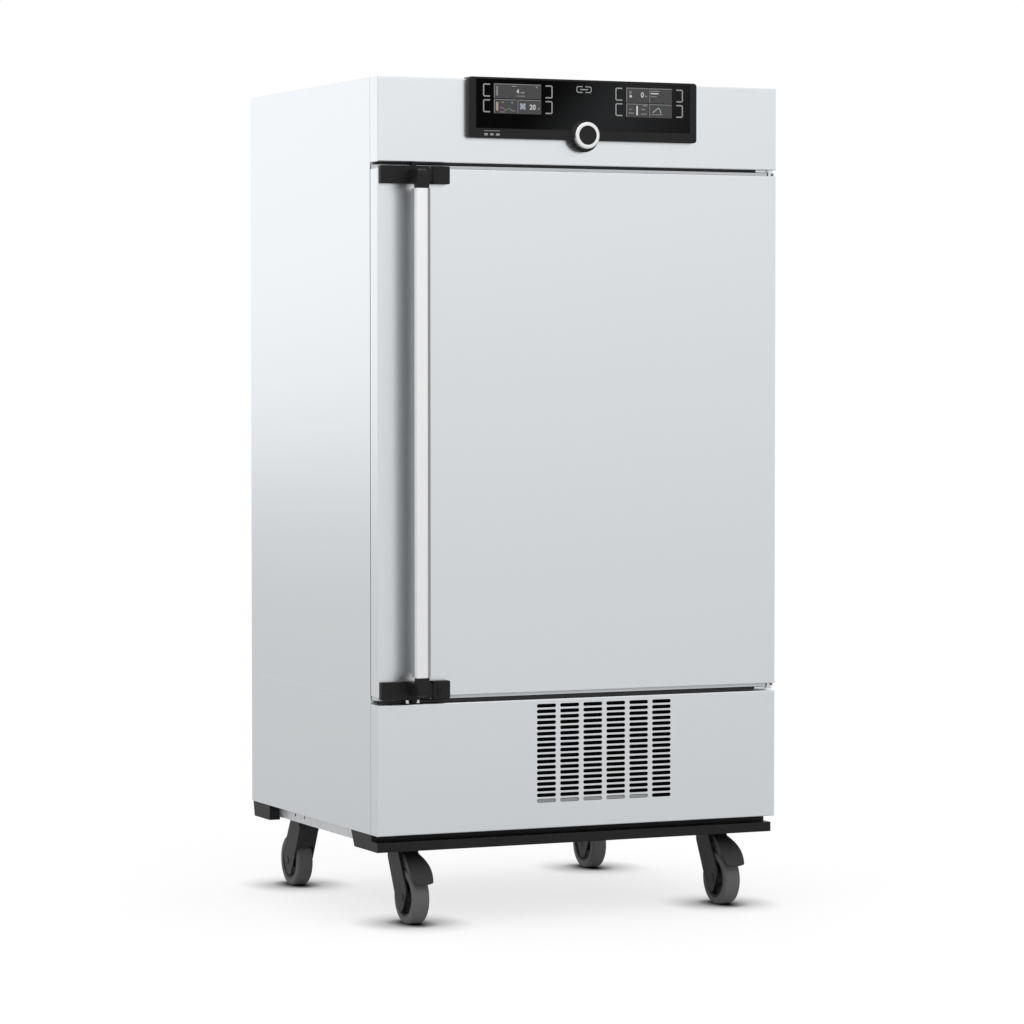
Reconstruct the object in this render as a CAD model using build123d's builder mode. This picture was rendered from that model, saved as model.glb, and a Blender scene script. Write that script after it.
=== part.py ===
"""Cooled incubator of about 256 litres on castors, as an assembly of separate pieces.

Millimetres, +Z up, the front faces -Y.  The origin is on the floor, under the middle of the
outer box of the whole instrument, handle and rear cover included.
"""
import os
from math import cos, radians, sin

from build123d import *

# Casing
WIDTH = 824.0
REAR_COVER = 24.0             # the rear cover stands this far behind the side panels
HANDLE_REACH = 56.0           # the handle bar stands this far in front of the front face
CASTOR_LIFT = 171.0           # floor to the underside of the casing
LOWER_PANEL_H = 242.5
GAP_BELOW_DOOR = 13.5
GAP_ABOVE_DOOR = 11.0
FASCIA_H = 155.5
SHEET = 1.5                   # wall of every sheet panel
FRONT_MODULE = 34.5           # thickness of the door, and depth of the panels above and below it
SEAM = 2.7                    # gap between the closed door and the body
PANEL_SEAM = 0.9              # joint line between the fixed front panels and the body
TOUCH = 0.3                   # clearance of pieces that seat on or beside each other
RUNNING = 0.05                # radial clearance of pins and shafts
TOP_FLANGE = 20.0             # height of the top cover's folded edge
FLANGE = 18.0                 # width of the side panels' folded edges
EDGE_R = 2.0                  # outer fold radius of the front panels

# Chamber
SIDE_WALL = 92.0              # outside of the casing to the inside of the chamber
CHAMBER_H = 800.0
CHAMBER_D = 500.0
DOOR_SILL = 88.0              # lower edge of the door to the chamber floor
DOOR_HEAD = 84.0              # chamber ceiling to the upper edge of the door
REBATE = 12.0                 # step around the opening that takes the inner glass door
LINER_R = 14.0                # corner radius of the stainless liner
RIB_PITCH = 66.0
RIB_COUNT = 10
RIB_REACH = 11.0
RIB_H = 14.0
RIB_START = 30.0              # opening to the front ends of the ribs
RIB_END = 16.0                # rear ends of the ribs to the air baffle
SHELF_RIBS = (2, 6)           # ribs, counted from the floor, that carry the two shelves
WIRE_R = 1.6
SHELF_FRAME_R = 3.0
SHELF_WIRES = 19
BAFFLE_GAP = 34.0             # space between the air baffle and the back of the chamber
REAR_WALL = 109.3             # back of the chamber to the back edge of the side panels

# Door
DOOR_RETURN = 6.0             # depth of the door skin's top and bottom folds
FRAME_STEP = 5.5              # the door's inner frame stands this far beyond the skin
FRAME_BAR = 34.0
FRAME_GAP = 1.2               # running gap between that frame and what is fixed in the gaps
HINGE_INSET = 10.0            # door hinge axis from the side and from the front face
PIN_R = 4.0
GASKET_W = 18.0
GLASS = 5.0

# Handle
BAR_W = 25.0
BAR_D = 12.0
BAR_LEFT = 54.0               # door edge to the left side of the bar
BAR_END = 38.5                # door edge to the ends of the bar
BRACKET_H = 33.0
BRACKET_L = 138.0
BRACKET_IN = 2.2              # door edge to the free end of the lever arms
BRACKET_OVER = 3.8            # the brackets reach this far beyond the door face
PIVOT_X = 108.0               # door edge to the handle's pivot
PIVOT_OUT = 8.0               # the pivot stands this far in front of the door
KNUCKLE_R = 7.0
BLOCK_D = 14.0

# Control panel
BEZEL_W = 470.0
BEZEL_H = 112.5
BEZEL_D = 13.0
BEZEL_TOP = 3.7               # the bezel stands this far above the casing
BEZEL_LIP = 24.0              # its lip runs this far back over the top edge
BEZEL_R = 6.0
PANE_W = 442.0
PANE_RIM = 18.0
PANE_T = 2.0
COLLAR_R = 31.0
KNOB_UP = 9.0                 # knob centre above the lower edge of the bezel
KNOB_R = 25.0
KNOB_D = 15.0
KEY_R = 17.7
KEY_TRAVEL = 1.5
SCREEN_W = 96.0
SCREEN_H = 55.0
SCREEN_X = 136.0              # screen centres left and right of the middle
SCREEN_DROP = 8.0             # casing top to the top of the screens

# Ventilation grille
SLOT_L = 39.5
SLOT_H = 7.0
SLOT_COLUMNS = 6
SLOT_ROWS = 18
SLOT_PITCH_X = 48.05
SLOT_PITCH_Z = 10.49
GRILLE_X = 48.5               # grille centre right of the middle
GRILLE_TOP = 9.0              # top of the lower panel to the top of the first slots

# Base and castors
BEAM_BACK = 11.0              # the black front beam stands back from the front face
BEAM_IN = 2.5
BEAM_BOTTOM = 140.0
BEAM_H = 18.0
RAIL_IN = 22.0
RAIL_W = 100.0
RAIL_BOTTOM = 147.0
SWIVEL_IN = 88.0              # swivel axes from the sides
SWIVEL_FRONT = 89.0
SWIVEL_BACK = 56.0            # rear swivel axes from the back edge of the side panels
CASTOR_TRAIL = 38.0           # swivel axis to the wheel axle
WHEEL_R = 50.0
TREAD_W = 32.0
HUB_R = 37.0
AXLE_R = 6.0
CHEEK = 3.0
CHEEK_GAP = 1.5
FORK_TOP = 136.0
KINGPIN_R = 6.0

# Derived places
HALF = WIDTH / 2
CHAMBER_W = WIDTH - 2 * SIDE_WALL
DOOR_H = DOOR_SILL + CHAMBER_H + DOOR_HEAD
BAR_LENGTH = DOOR_H - 2 * BAR_END
SIDE_DEPTH = FRONT_MODULE + SEAM + SHEET + REBATE + CHAMBER_D + REAR_WALL
SWIVEL_REAR = SIDE_DEPTH - SWIVEL_BACK
REAR_REACH = max(SIDE_DEPTH + REAR_COVER, SWIVEL_REAR + CASTOR_TRAIL + WHEEL_R)
Y_FRONT = (HANDLE_REACH - REAR_REACH) / 2
Y_BODY = Y_FRONT + FRONT_MODULE + SEAM
Y_BACK = Y_FRONT + SIDE_DEPTH
Z_CASE = CASTOR_LIFT
Z_LOWER = Z_CASE + LOWER_PANEL_H
Z_DOOR = Z_LOWER + GAP_BELOW_DOOR
Z_DOOR_TOP = Z_DOOR + DOOR_H
Z_FASCIA = Z_DOOR_TOP + GAP_ABOVE_DOOR
Z_TOP = Z_FASCIA + FASCIA_H
CHAMBER_FLOOR = Z_DOOR + DOOR_SILL
Z_CHAMBER_TOP = CHAMBER_FLOOR + CHAMBER_H
Z_CHAMBER_MID = CHAMBER_FLOOR + CHAMBER_H / 2
Y_LINER = Y_BODY + SHEET + REBATE
Y_CHAMBER_BACK = Y_LINER + CHAMBER_D
INSULATION_BOTTOM = Z_DOOR + 6
INSULATION_TOP = Z_DOOR_TOP
HINGE_X = HALF - HINGE_INSET
HINGE_Y = Y_FRONT + HINGE_INSET

os.makedirs("parts", exist_ok=True)


def keep(part, label):
    """Label a finished piece and write it."""
    part.label = label
    export_step(part, f"parts/{label}.step")


def keep_group(pieces, label):
    """Write separate solids of one body and one finish as one named piece."""
    keep(Compound(pieces), label)


def at_y(y):
    """Plane across the instrument at depth y: sketch x is X, sketch y is Z."""
    return Plane.XZ.offset(-y)


def at_x(x):
    """Plane from front to back at x: sketch x is Y, sketch y is Z."""
    return Plane.YZ.offset(x)


def at_z(z):
    return Plane.XY.offset(z)


def rect(u0, u1, v0, v1, mode=Mode.ADD):
    """Rectangle between two corners of the current sketch."""
    with Locations(((u0 + u1) / 2, (v0 + v1) / 2)):
        Rectangle(abs(u1 - u0), abs(v1 - v0), mode=mode)


# Front panels: folded pans whose open side faces the body


def front_pan(z0, z1, depth):
    """Folded front panel from z0 to z1, with returns of the given depth on all four sides."""
    with BuildPart() as pan:
        with BuildSketch(at_y(Y_FRONT)):
            rect(-HALF, HALF, z0, z1)
        extrude(amount=-depth)
        front = pan.faces().sort_by(Axis.Y)[0]
        fillet(front.edges(), EDGE_R)
        back = pan.faces().sort_by(Axis.Y)[-1]
        offset(amount=-SHEET, openings=back)
    return pan.part


with BuildPart() as fascia:
    add(front_pan(Z_FASCIA, Z_TOP, FRONT_MODULE + SEAM - PANEL_SEAM))
    with BuildSketch(at_y(Y_FRONT - 1)):
        with Locations((0, Z_TOP - BEZEL_H / 2)):
            Rectangle(BEZEL_W - 60, BEZEL_H - 50)
    extrude(amount=-(SHEET + 2), mode=Mode.SUBTRACT)
keep(fascia.part, "top_fascia")

GRILLE_Z = Z_LOWER - GRILLE_TOP - SLOT_H / 2 - SLOT_PITCH_Z * (SLOT_ROWS - 1) / 2
GRILLE_W = SLOT_PITCH_X * (SLOT_COLUMNS - 1) + SLOT_L
GRILLE_H = SLOT_PITCH_Z * (SLOT_ROWS - 1) + SLOT_H

with BuildPart() as lower_panel:
    add(front_pan(Z_CASE, Z_LOWER, FRONT_MODULE + SEAM - PANEL_SEAM))
    with BuildSketch(at_y(Y_FRONT - 1)):
        with Locations((GRILLE_X, GRILLE_Z)):
            with GridLocations(SLOT_PITCH_X, SLOT_PITCH_Z, SLOT_COLUMNS, SLOT_ROWS):
                SlotOverall(SLOT_L, SLOT_H)
    extrude(amount=-(SHEET + 2), mode=Mode.SUBTRACT)
keep(lower_panel.part, "lower_front_panel")

FILTER_RIM = 6.0
FILTER_D = 16.0
with BuildPart() as filter_frame:
    with BuildSketch(at_y(Y_FRONT + SHEET)):
        with Locations((GRILLE_X, GRILLE_Z)):
            Rectangle(GRILLE_W + 2 * FILTER_RIM, GRILLE_H + 2 * FILTER_RIM)
            Rectangle(GRILLE_W, GRILLE_H, mode=Mode.SUBTRACT)
    extrude(amount=-FILTER_D)

with BuildPart() as filter_pad:
    with BuildSketch(at_y(Y_FRONT + SHEET + 5)):
        with Locations((GRILLE_X, GRILLE_Z)):
            Rectangle(GRILLE_W, GRILLE_H)
    extrude(amount=-(FILTER_D - 8))
keep_group([filter_frame.part, filter_pad.part], "air_filter")

# Body: side panels, top cover, rear panel and its cover


def side_panel(side):
    """Side panel with a folded front and back edge and the pressed seam above the machine room."""
    outer = side * HALF
    with BuildPart() as panel:
        with BuildSketch(at_z(Z_CASE)):
            rect(outer, outer - side * SHEET, Y_BODY, Y_BACK)
            rect(outer, outer - side * FLANGE, Y_BODY, Y_BODY + SHEET)
            rect(outer, outer - side * FLANGE, Y_BACK - SHEET, Y_BACK)
        extrude(amount=Z_TOP - TOP_FLANGE - Z_CASE)
        with BuildSketch(at_x(outer)):
            rect(Y_BODY + FLANGE * 2, Y_BACK - FLANGE * 1.5, Z_DOOR - 2.8, Z_DOOR - 1.2)
        extrude(amount=-side * SHEET / 2, mode=Mode.SUBTRACT)
    return panel.part


for name, side in (("side_panel_left", -1), ("side_panel_right", 1)):
    keep(side_panel(side), name)

with BuildPart() as top_cover:
    with BuildSketch(at_z(Z_TOP)):
        rect(-HALF, HALF, Y_BODY, Y_BACK)
    extrude(amount=-TOP_FLANGE)
    hollow = top_cover.faces().filter_by(Axis.Z).sort_by(Axis.Z)[0]
    offset(amount=-SHEET, openings=[hollow, top_cover.faces().sort_by(Axis.Y)[0]])
keep(top_cover.part, "top_cover")

VENT_ROWS = 7
VENT_PITCH = 14.0
VENT_L = 60.0
VENT_H = 5.0
LOW_VENT_IN = 182.0           # vent fields of the rear panel from the sides
with BuildPart() as rear_panel:
    with BuildSketch(at_y(Y_BACK - SHEET)):
        rect(-HALF + FLANGE, HALF - FLANGE, Z_CASE, Z_TOP - TOP_FLANGE)
    extrude(amount=-SHEET)
    with BuildSketch(at_y(Y_BACK - SHEET - 1)):
        for side in (-1, 1):
            with Locations((side * (HALF - LOW_VENT_IN), Z_CASE + 110)):
                with GridLocations(VENT_L + 20, VENT_PITCH, 2, VENT_ROWS):
                    SlotOverall(VENT_L, VENT_H)
    extrude(amount=-(SHEET + 2), mode=Mode.SUBTRACT)
keep(rear_panel.part, "rear_panel")

COVER_W = CHAMBER_W - 140
COVER_VENT_L = 54.0
COVER_Z0 = Z_CASE + 250
COVER_Z1 = Z_TOP - 120
with BuildPart() as rear_cover:
    with BuildSketch(at_y(Y_BACK)):
        rect(-COVER_W / 2, COVER_W / 2, COVER_Z0, COVER_Z1)
    extrude(amount=-REAR_COVER)
    chamfer(rear_cover.faces().sort_by(Axis.Y)[-1].edges(), 10)
    offset(amount=-SHEET, openings=rear_cover.faces().sort_by(Axis.Y)[0])
    with BuildSketch(at_y(Y_BACK + REAR_COVER - SHEET - 1)):
        for z in (COVER_Z0 + 90, COVER_Z1 - 90):
            with Locations((0, z)):
                with GridLocations(COVER_VENT_L + 16, VENT_PITCH, 5, VENT_ROWS):
                    SlotOverall(COVER_VENT_L, VENT_H)
    extrude(amount=-(SHEET + 2), mode=Mode.SUBTRACT)
keep(rear_cover.part, "rear_cover")

# Front frame, liner and what is around them

OPEN_W = CHAMBER_W + 2 * REBATE
OPEN_Z0 = CHAMBER_FLOOR - REBATE
OPEN_Z1 = Z_CHAMBER_TOP + REBATE
FRAME_EDGE = 30.0             # bars of the frame around the machine room
with BuildPart() as front_frame:
    with BuildSketch(at_y(Y_BODY)):
        rect(-HALF + FLANGE, HALF - FLANGE, Z_CASE + SHEET, Z_TOP - TOP_FLANGE)
        rect(-OPEN_W / 2, OPEN_W / 2, OPEN_Z0, OPEN_Z1, mode=Mode.SUBTRACT)
        rect(-HALF + 60, HALF - 60, Z_CASE + FRAME_EDGE, Z_LOWER - FRAME_EDGE, mode=Mode.SUBTRACT)
    extrude(amount=-SHEET)
    with BuildSketch(at_y(Y_BODY)):
        rect(-OPEN_W / 2 - SHEET, OPEN_W / 2 + SHEET, OPEN_Z0 - SHEET, OPEN_Z1 + SHEET)
        rect(-OPEN_W / 2, OPEN_W / 2, OPEN_Z0, OPEN_Z1, mode=Mode.SUBTRACT)
    extrude(amount=-(SHEET + REBATE))
keep(front_frame.part, "front_frame")


def rib_z(index):
    """Centre height of one shelf rib, counted from the chamber floor."""
    return CHAMBER_FLOOR + RIB_PITCH * (index + 1)


MOTOR_R = 42.0
MOTOR_L = 70.0
MOTOR_NECK_R = 11.0
SHAFT_R = 5.0
with BuildPart() as liner:
    with BuildSketch(at_y(Y_LINER)):
        with Locations((0, Z_CHAMBER_MID)):
            RectangleRounded(CHAMBER_W + 2 * SHEET, CHAMBER_H + 2 * SHEET, LINER_R + SHEET)
    extrude(amount=-(CHAMBER_D + SHEET))
    with BuildSketch(at_y(Y_LINER)):
        rect(-OPEN_W / 2 - SHEET, OPEN_W / 2 + SHEET, OPEN_Z0 - SHEET, OPEN_Z1 + SHEET)
    extrude(amount=-SHEET)
    with BuildSketch(at_y(Y_LINER)):
        with Locations((0, Z_CHAMBER_MID)):
            RectangleRounded(CHAMBER_W, CHAMBER_H, LINER_R)
    extrude(amount=-CHAMBER_D, mode=Mode.SUBTRACT)
    with BuildSketch(at_y(Y_LINER + RIB_START)):
        for index in range(RIB_COUNT):
            for side in (-1, 1):
                z = rib_z(index)
                wall = side * (CHAMBER_W / 2 + SHEET / 2)
                nose = side * (CHAMBER_W / 2 - RIB_REACH)
                Polygon((wall, z - RIB_H), (wall, z), (nose, z), (nose, z - RIB_H / 2), align=None)
    extrude(amount=-(CHAMBER_D - BAFFLE_GAP - RIB_START - RIB_END))
    with BuildSketch(at_y(Y_CHAMBER_BACK - 1)):
        with Locations((0, Z_CHAMBER_MID)):
            Circle(MOTOR_NECK_R + 1)
    extrude(amount=-(SHEET + 2), mode=Mode.SUBTRACT)
keep(liner.part, "chamber_liner")

MAT = 3.0                     # thickness of the heating mats around the liner
INSET = 20.0                  # insulation and tray stand this far inside the side panels
with BuildPart() as insulation:
    with BuildSketch(at_y(Y_LINER + SHEET)):
        rect(-HALF + INSET, HALF - INSET, INSULATION_BOTTOM, INSULATION_TOP)
        with Locations((0, Z_CHAMBER_MID)):
            RectangleRounded(CHAMBER_W + 2 * (SHEET + MAT), CHAMBER_H + 2 * (SHEET + MAT),
                             LINER_R + SHEET + MAT, mode=Mode.SUBTRACT)
    extrude(amount=-(CHAMBER_D + MAT))
    with BuildSketch(at_y(Y_CHAMBER_BACK + SHEET + MAT)):
        rect(-HALF + INSET, HALF - INSET, INSULATION_BOTTOM, INSULATION_TOP)
        with Locations((0, Z_CHAMBER_MID)):
            Circle(MOTOR_R + TOUCH, mode=Mode.SUBTRACT)
    extrude(amount=-(Y_BACK - SHEET - (Y_CHAMBER_BACK + SHEET + MAT)))
keep(insulation.part, "chamber_insulation")

MAT_EDGE = 40.0
with BuildPart() as heating_mats:
    for side in (-1, 1):
        with BuildSketch(at_x(side * (CHAMBER_W / 2 + SHEET))):
            rect(Y_LINER + MAT_EDGE, Y_CHAMBER_BACK - MAT_EDGE,
                 CHAMBER_FLOOR + MAT_EDGE, Z_CHAMBER_TOP - MAT_EDGE)
        extrude(amount=side * (MAT - TOUCH))
keep(heating_mats.part, "heating_mats")

COIL_R = 4.0
COIL_TURNS = 6
COIL_W = CHAMBER_W - 220
COIL_PITCH = 18.0
Y_BAFFLE = Y_CHAMBER_BACK - BAFFLE_GAP
with BuildPart() as evaporator:
    with BuildLine(at_y(Y_CHAMBER_BACK - COIL_R - TOUCH)) as coil:
        for turn in range(COIL_TURNS):
            z = CHAMBER_FLOOR + 60 + turn * COIL_PITCH
            way = 1 if turn % 2 == 0 else -1
            end = way * COIL_W / 2
            Line((-end, z), (end, z))
            if turn < COIL_TURNS - 1:
                ThreePointArc((end, z), (end + way * COIL_PITCH / 2, z + COIL_PITCH / 2),
                              (end, z + COIL_PITCH))
    with BuildSketch(Plane(coil.wires()[0] @ 0, z_dir=coil.wires()[0] % 0)):
        Circle(COIL_R)
    sweep()

BAFFLE_HALF = CHAMBER_W / 2 - RIB_REACH - 6
BAFFLE_Z = (CHAMBER_FLOOR + 16, Z_CHAMBER_TOP - 16)
with BuildPart() as baffle:
    with BuildSketch(at_y(Y_BAFFLE)):
        rect(-BAFFLE_HALF, BAFFLE_HALF, *BAFFLE_Z)
    extrude(amount=-SHEET)
    with BuildSketch(at_y(Y_BAFFLE)):
        for side in (-1, 1):
            rect(side * (BAFFLE_HALF - SHEET), side * BAFFLE_HALF, *BAFFLE_Z)
    extrude(amount=-BAFFLE_GAP)
    with BuildSketch(at_y(Y_BAFFLE - 1)):
        with Locations((0, Z_CHAMBER_MID)):
            with GridLocations(0, 13, 1, 9):
                SlotOverall(96, 6)
        for z in (CHAMBER_FLOOR + 60, Z_CHAMBER_TOP - 60):
            with Locations((0, z)):
                with GridLocations(56, 22, 9, 2):
                    SlotOverall(34, 7)
    extrude(amount=-(SHEET + 2), mode=Mode.SUBTRACT)
keep(baffle.part, "air_baffle")

with BuildPart() as fan_motor:
    with BuildSketch(at_y(Y_CHAMBER_BACK + SHEET)):
        with Locations((0, Z_CHAMBER_MID)):
            Circle(MOTOR_R)
    extrude(amount=-MOTOR_L)
    chamfer(fan_motor.faces().sort_by(Axis.Y)[-1].edges(), 4)
    with BuildSketch(at_y(Y_CHAMBER_BACK + SHEET)):
        with Locations((0, Z_CHAMBER_MID)):
            Circle(MOTOR_NECK_R)
    extrude(amount=SHEET + 2)
    with BuildSketch(at_y(Y_CHAMBER_BACK - 2)):
        with Locations((0, Z_CHAMBER_MID)):
            Circle(SHAFT_R + RUNNING)
    extrude(amount=-40, mode=Mode.SUBTRACT)
keep(fan_motor.part, "circulation_motor")


def blade_wheel(y_mid, x, z, radius, hub_r, blades, chord, pitch, shaft_r, shaft_back):
    """Fan wheel on a shaft along Y: a hub with flat blades turned by the pitch angle."""
    depth = chord * sin(radians(pitch))
    with BuildPart() as wheel:
        with BuildSketch(at_y(y_mid - depth / 2)):
            with Locations((x, z)):
                Circle(hub_r)
        extrude(amount=-depth)
        with BuildSketch(at_y(y_mid)):
            with Locations((x, z)):
                Circle(shaft_r)
        extrude(amount=-(shaft_back - y_mid))
        for turn in range(blades):
            angle = radians(360 * turn / blades)
            along = Vector(cos(angle), 0, sin(angle))
            across = Vector(-sin(angle), 0, cos(angle))
            tilted = Vector(0, -1, 0) * cos(radians(pitch)) + across * sin(radians(pitch))
            with BuildSketch(Plane((x, y_mid, z), x_dir=along, z_dir=tilted)):
                with BuildLine():
                    root = hub_r - 3
                    Polyline((root, -chord * 0.3), (radius * 0.8, -chord / 2))
                    ThreePointArc((radius * 0.8, -chord / 2), (radius, 0), (radius * 0.8, chord / 2))
                    Polyline((radius * 0.8, chord / 2), (root, chord * 0.3), (root, -chord * 0.3))
                make_face()
            extrude(amount=0.8, both=True)
    return wheel.part


keep(blade_wheel(Y_BAFFLE + BAFFLE_GAP / 2, 0, Z_CHAMBER_MID, 58, 18, 7, 30, 26, SHAFT_R,
                 Y_CHAMBER_BACK + 30), "circulation_fan")

SENSOR = (CHAMBER_W / 2 - 130, Z_CHAMBER_TOP - 110)
SENSOR_FOOT = 6.0
with BuildPart() as sensor:
    with BuildSketch(at_y(Y_BAFFLE)):
        with Locations(SENSOR):
            Circle(9)
    extrude(amount=SENSOR_FOOT)
    with BuildSketch(at_y(Y_BAFFLE - SENSOR_FOOT)):
        with Locations(SENSOR):
            Circle(2.5)
    extrude(amount=60)
keep(sensor.part, "temperature_sensor")


def wire_shelf(index):
    """Welded wire shelf that lies on one pair of ribs."""
    z = rib_z(index) + TOUCH + SHELF_FRAME_R
    half_w = CHAMBER_W / 2 - 3 - SHELF_FRAME_R
    y0 = Y_LINER + 16
    y1 = Y_BAFFLE - 14
    with BuildPart() as shelf:
        with BuildLine(at_z(z)) as path:
            FilletPolyline((-half_w, y0), (half_w, y0), (half_w, y1), (-half_w, y1), close=True,
                           radius=12)
        with BuildSketch(Plane(path.wires()[0] @ 0, z_dir=path.wires()[0] % 0)):
            Circle(SHELF_FRAME_R)
        sweep()
        with BuildSketch(at_y(y0)):
            with Locations((0, z)):
                with GridLocations(2 * half_w / (SHELF_WIRES + 1), 0, SHELF_WIRES, 1):
                    Circle(WIRE_R)
        extrude(amount=-(y1 - y0))
        with BuildSketch(at_x(-half_w)):
            for y in (y0 + 110, y1 - 110):
                with Locations((y, z - 1)):
                    Circle(SHELF_FRAME_R - 1.1)
        extrude(amount=2 * half_w)
    return shelf.part


keep_group([wire_shelf(index) for index in SHELF_RIBS], "wire_shelves")

# Inner glass door

AXIS_X = OPEN_W / 2 - 10
AXIS_Y = Y_BODY + 6.5
PANE_GAP = 4.0
LEAF = 1.8
with BuildPart() as inner_pane:
    with BuildSketch(at_y(AXIS_Y - GLASS / 2)):
        rect(-OPEN_W / 2 + PANE_GAP, AXIS_X - 6.5, OPEN_Z0 + PANE_GAP, OPEN_Z1 - PANE_GAP)
    extrude(amount=-GLASS)
    fillet(inner_pane.edges().filter_by(Axis.Y), 8)
keep(inner_pane.part, "inner_glass_pane")

CLIP_H = 36.0
CLIP_INSET = 70.0
CLIPS = (OPEN_Z0 + CLIP_INSET, OPEN_Z1 - CLIP_INSET - CLIP_H)
with BuildPart() as inner_clips:
    for z in CLIPS:
        with BuildSketch(at_z(z)):
            with Locations((AXIS_X, AXIS_Y)):
                Circle(4.8)
            rect(AXIS_X - 46, AXIS_X - 1, AXIS_Y - GLASS / 2 - LEAF, AXIS_Y + GLASS / 2 + LEAF)
            rect(AXIS_X - 47, AXIS_X - 6.5, AXIS_Y - GLASS / 2, AXIS_Y + GLASS / 2,
                 mode=Mode.SUBTRACT)
            with Locations((AXIS_X, AXIS_Y)):
                Circle(2 + RUNNING, mode=Mode.SUBTRACT)
        extrude(amount=CLIP_H)

PIN_EAR = 6.0
with BuildPart() as inner_pins:
    for z in CLIPS:
        with BuildSketch(at_z(z - PIN_EAR - TOUCH)):
            with Locations((AXIS_X, AXIS_Y)):
                Circle(4.5)
            rect(AXIS_X, OPEN_W / 2, AXIS_Y - 3, AXIS_Y + 3)
        extrude(amount=PIN_EAR)
        with BuildSketch(at_z(z - TOUCH)):
            with Locations((AXIS_X, AXIS_Y)):
                Circle(2)
        extrude(amount=CLIP_H - 6)
keep(inner_pins.part, "inner_door_hinge_pins")

with BuildPart() as inner_grip:
    with BuildSketch(at_y(AXIS_Y - GLASS / 2)):
        with Locations((-OPEN_W / 2 + 32, Z_CHAMBER_MID)):
            Circle(9)
    extrude(amount=0.9)
    with BuildSketch(at_y(AXIS_Y + GLASS / 2)):
        with Locations((-OPEN_W / 2 + 32, Z_CHAMBER_MID)):
            Circle(9)
    extrude(amount=-1.6)
keep_group([inner_clips.part, inner_grip.part], "inner_door_fittings")

with BuildPart() as inner_seal:
    with BuildSketch(at_y(Y_LINER)):
        rect(-OPEN_W / 2 + 6, AXIS_X - 9, OPEN_Z0 + 6, OPEN_Z1 - 6)
        rect(-OPEN_W / 2 + REBATE - 1, AXIS_X - 14, OPEN_Z0 + REBATE - 1, OPEN_Z1 - REBATE + 1,
             mode=Mode.SUBTRACT)
    extrude(amount=Y_LINER - (AXIS_Y + GLASS / 2 + LEAF + 2 * TOUCH))
keep(inner_seal.part, "inner_door_seal")

# Outer door

with BuildPart() as door_skin:
    with BuildSketch(at_y(Y_FRONT)):
        rect(-HALF, HALF, Z_DOOR, Z_DOOR_TOP)
    extrude(amount=-FRONT_MODULE)
    fillet(door_skin.faces().sort_by(Axis.Y)[0].edges(), EDGE_R)
    offset(amount=-SHEET, openings=door_skin.faces().sort_by(Axis.Y)[-1])
    for z0, z1 in ((Z_DOOR - 1, Z_DOOR + SHEET), (Z_DOOR_TOP - SHEET, Z_DOOR_TOP + 1)):
        with BuildSketch(at_y(Y_FRONT + DOOR_RETURN)):
            rect(-HALF - 1, HALF + 1, z0, z1)
        extrude(amount=-FRONT_MODULE, mode=Mode.SUBTRACT)
    with BuildSketch(at_z(Z_DOOR - 1)):
        with Locations((HINGE_X, HINGE_Y)):
            Circle(PIN_R + 4)
    extrude(amount=DOOR_H + 2, mode=Mode.SUBTRACT)
keep(door_skin.part, "door_skin")

with BuildPart() as door_frame:
    with BuildSketch(at_y(Y_FRONT + DOOR_RETURN)):
        rect(-HALF + SHEET, HALF - SHEET, Z_DOOR - FRAME_STEP, Z_DOOR_TOP + FRAME_STEP)
        rect(-HALF + FRAME_BAR, HALF - FRAME_BAR, Z_DOOR + FRAME_BAR, Z_DOOR_TOP - FRAME_BAR,
             mode=Mode.SUBTRACT)
    extrude(amount=-(FRONT_MODULE - DOOR_RETURN))
    with BuildSketch(at_z(Z_DOOR - FRAME_STEP - 1)):
        with Locations((HINGE_X, HINGE_Y)):
            Circle(PIN_R + 4)
    extrude(amount=DOOR_H + 2 * FRAME_STEP + 2, mode=Mode.SUBTRACT)

with BuildPart() as door_insulation:
    with BuildSketch(at_y(Y_FRONT + SHEET)):
        rect(-HALF + FRAME_BAR, HALF - FRAME_BAR, Z_DOOR + FRAME_BAR, Z_DOOR_TOP - FRAME_BAR)
    extrude(amount=-(FRONT_MODULE - 2 * SHEET - 6))
keep(door_insulation.part, "door_insulation")

with BuildPart() as door_liner:
    with BuildSketch(at_y(Y_FRONT + FRONT_MODULE)):
        rect(-HALF + FRAME_BAR, HALF - FRAME_BAR, Z_DOOR + FRAME_BAR, Z_DOOR_TOP - FRAME_BAR)
    extrude(amount=SHEET + 6)
    with BuildSketch(at_y(Y_FRONT + FRONT_MODULE)) as mouth:
        rect(-OPEN_W / 2 + 20, OPEN_W / 2 - 20, OPEN_Z0 + 20, OPEN_Z1 - 20)
    extrude(amount=6, taper=30, mode=Mode.SUBTRACT)
keep(door_liner.part, "door_liner")

with BuildPart() as gasket:
    with BuildSketch(at_y(Y_FRONT + FRONT_MODULE)):
        rect(-OPEN_W / 2 - 10 - GASKET_W, OPEN_W / 2 + 10 + GASKET_W,
             OPEN_Z0 - 10 - GASKET_W, OPEN_Z1 + 10 + GASKET_W)
        rect(-OPEN_W / 2 - 10, OPEN_W / 2 + 10, OPEN_Z0 - 10, OPEN_Z1 + 10, mode=Mode.SUBTRACT)
    extrude(amount=-(SEAM - TOUCH))
    fillet(gasket.faces().sort_by(Axis.Y)[-1].edges(), 1.0)
keep(gasket.part, "door_gasket")

BUSH_L = 24.0
with BuildPart() as hinge_bushes:
    for z in (Z_DOOR, Z_DOOR_TOP - BUSH_L):
        with BuildSketch(at_z(z)):
            with Locations((HINGE_X, HINGE_Y)):
                Circle(PIN_R + 4 - TOUCH)
                Circle(PIN_R + RUNNING, mode=Mode.SUBTRACT)
        extrude(amount=BUSH_L)
keep_group([door_frame.part, hinge_bushes.part], "door_frame")

PLATE_T = 4.0
PLATE_W = 35.0


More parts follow.
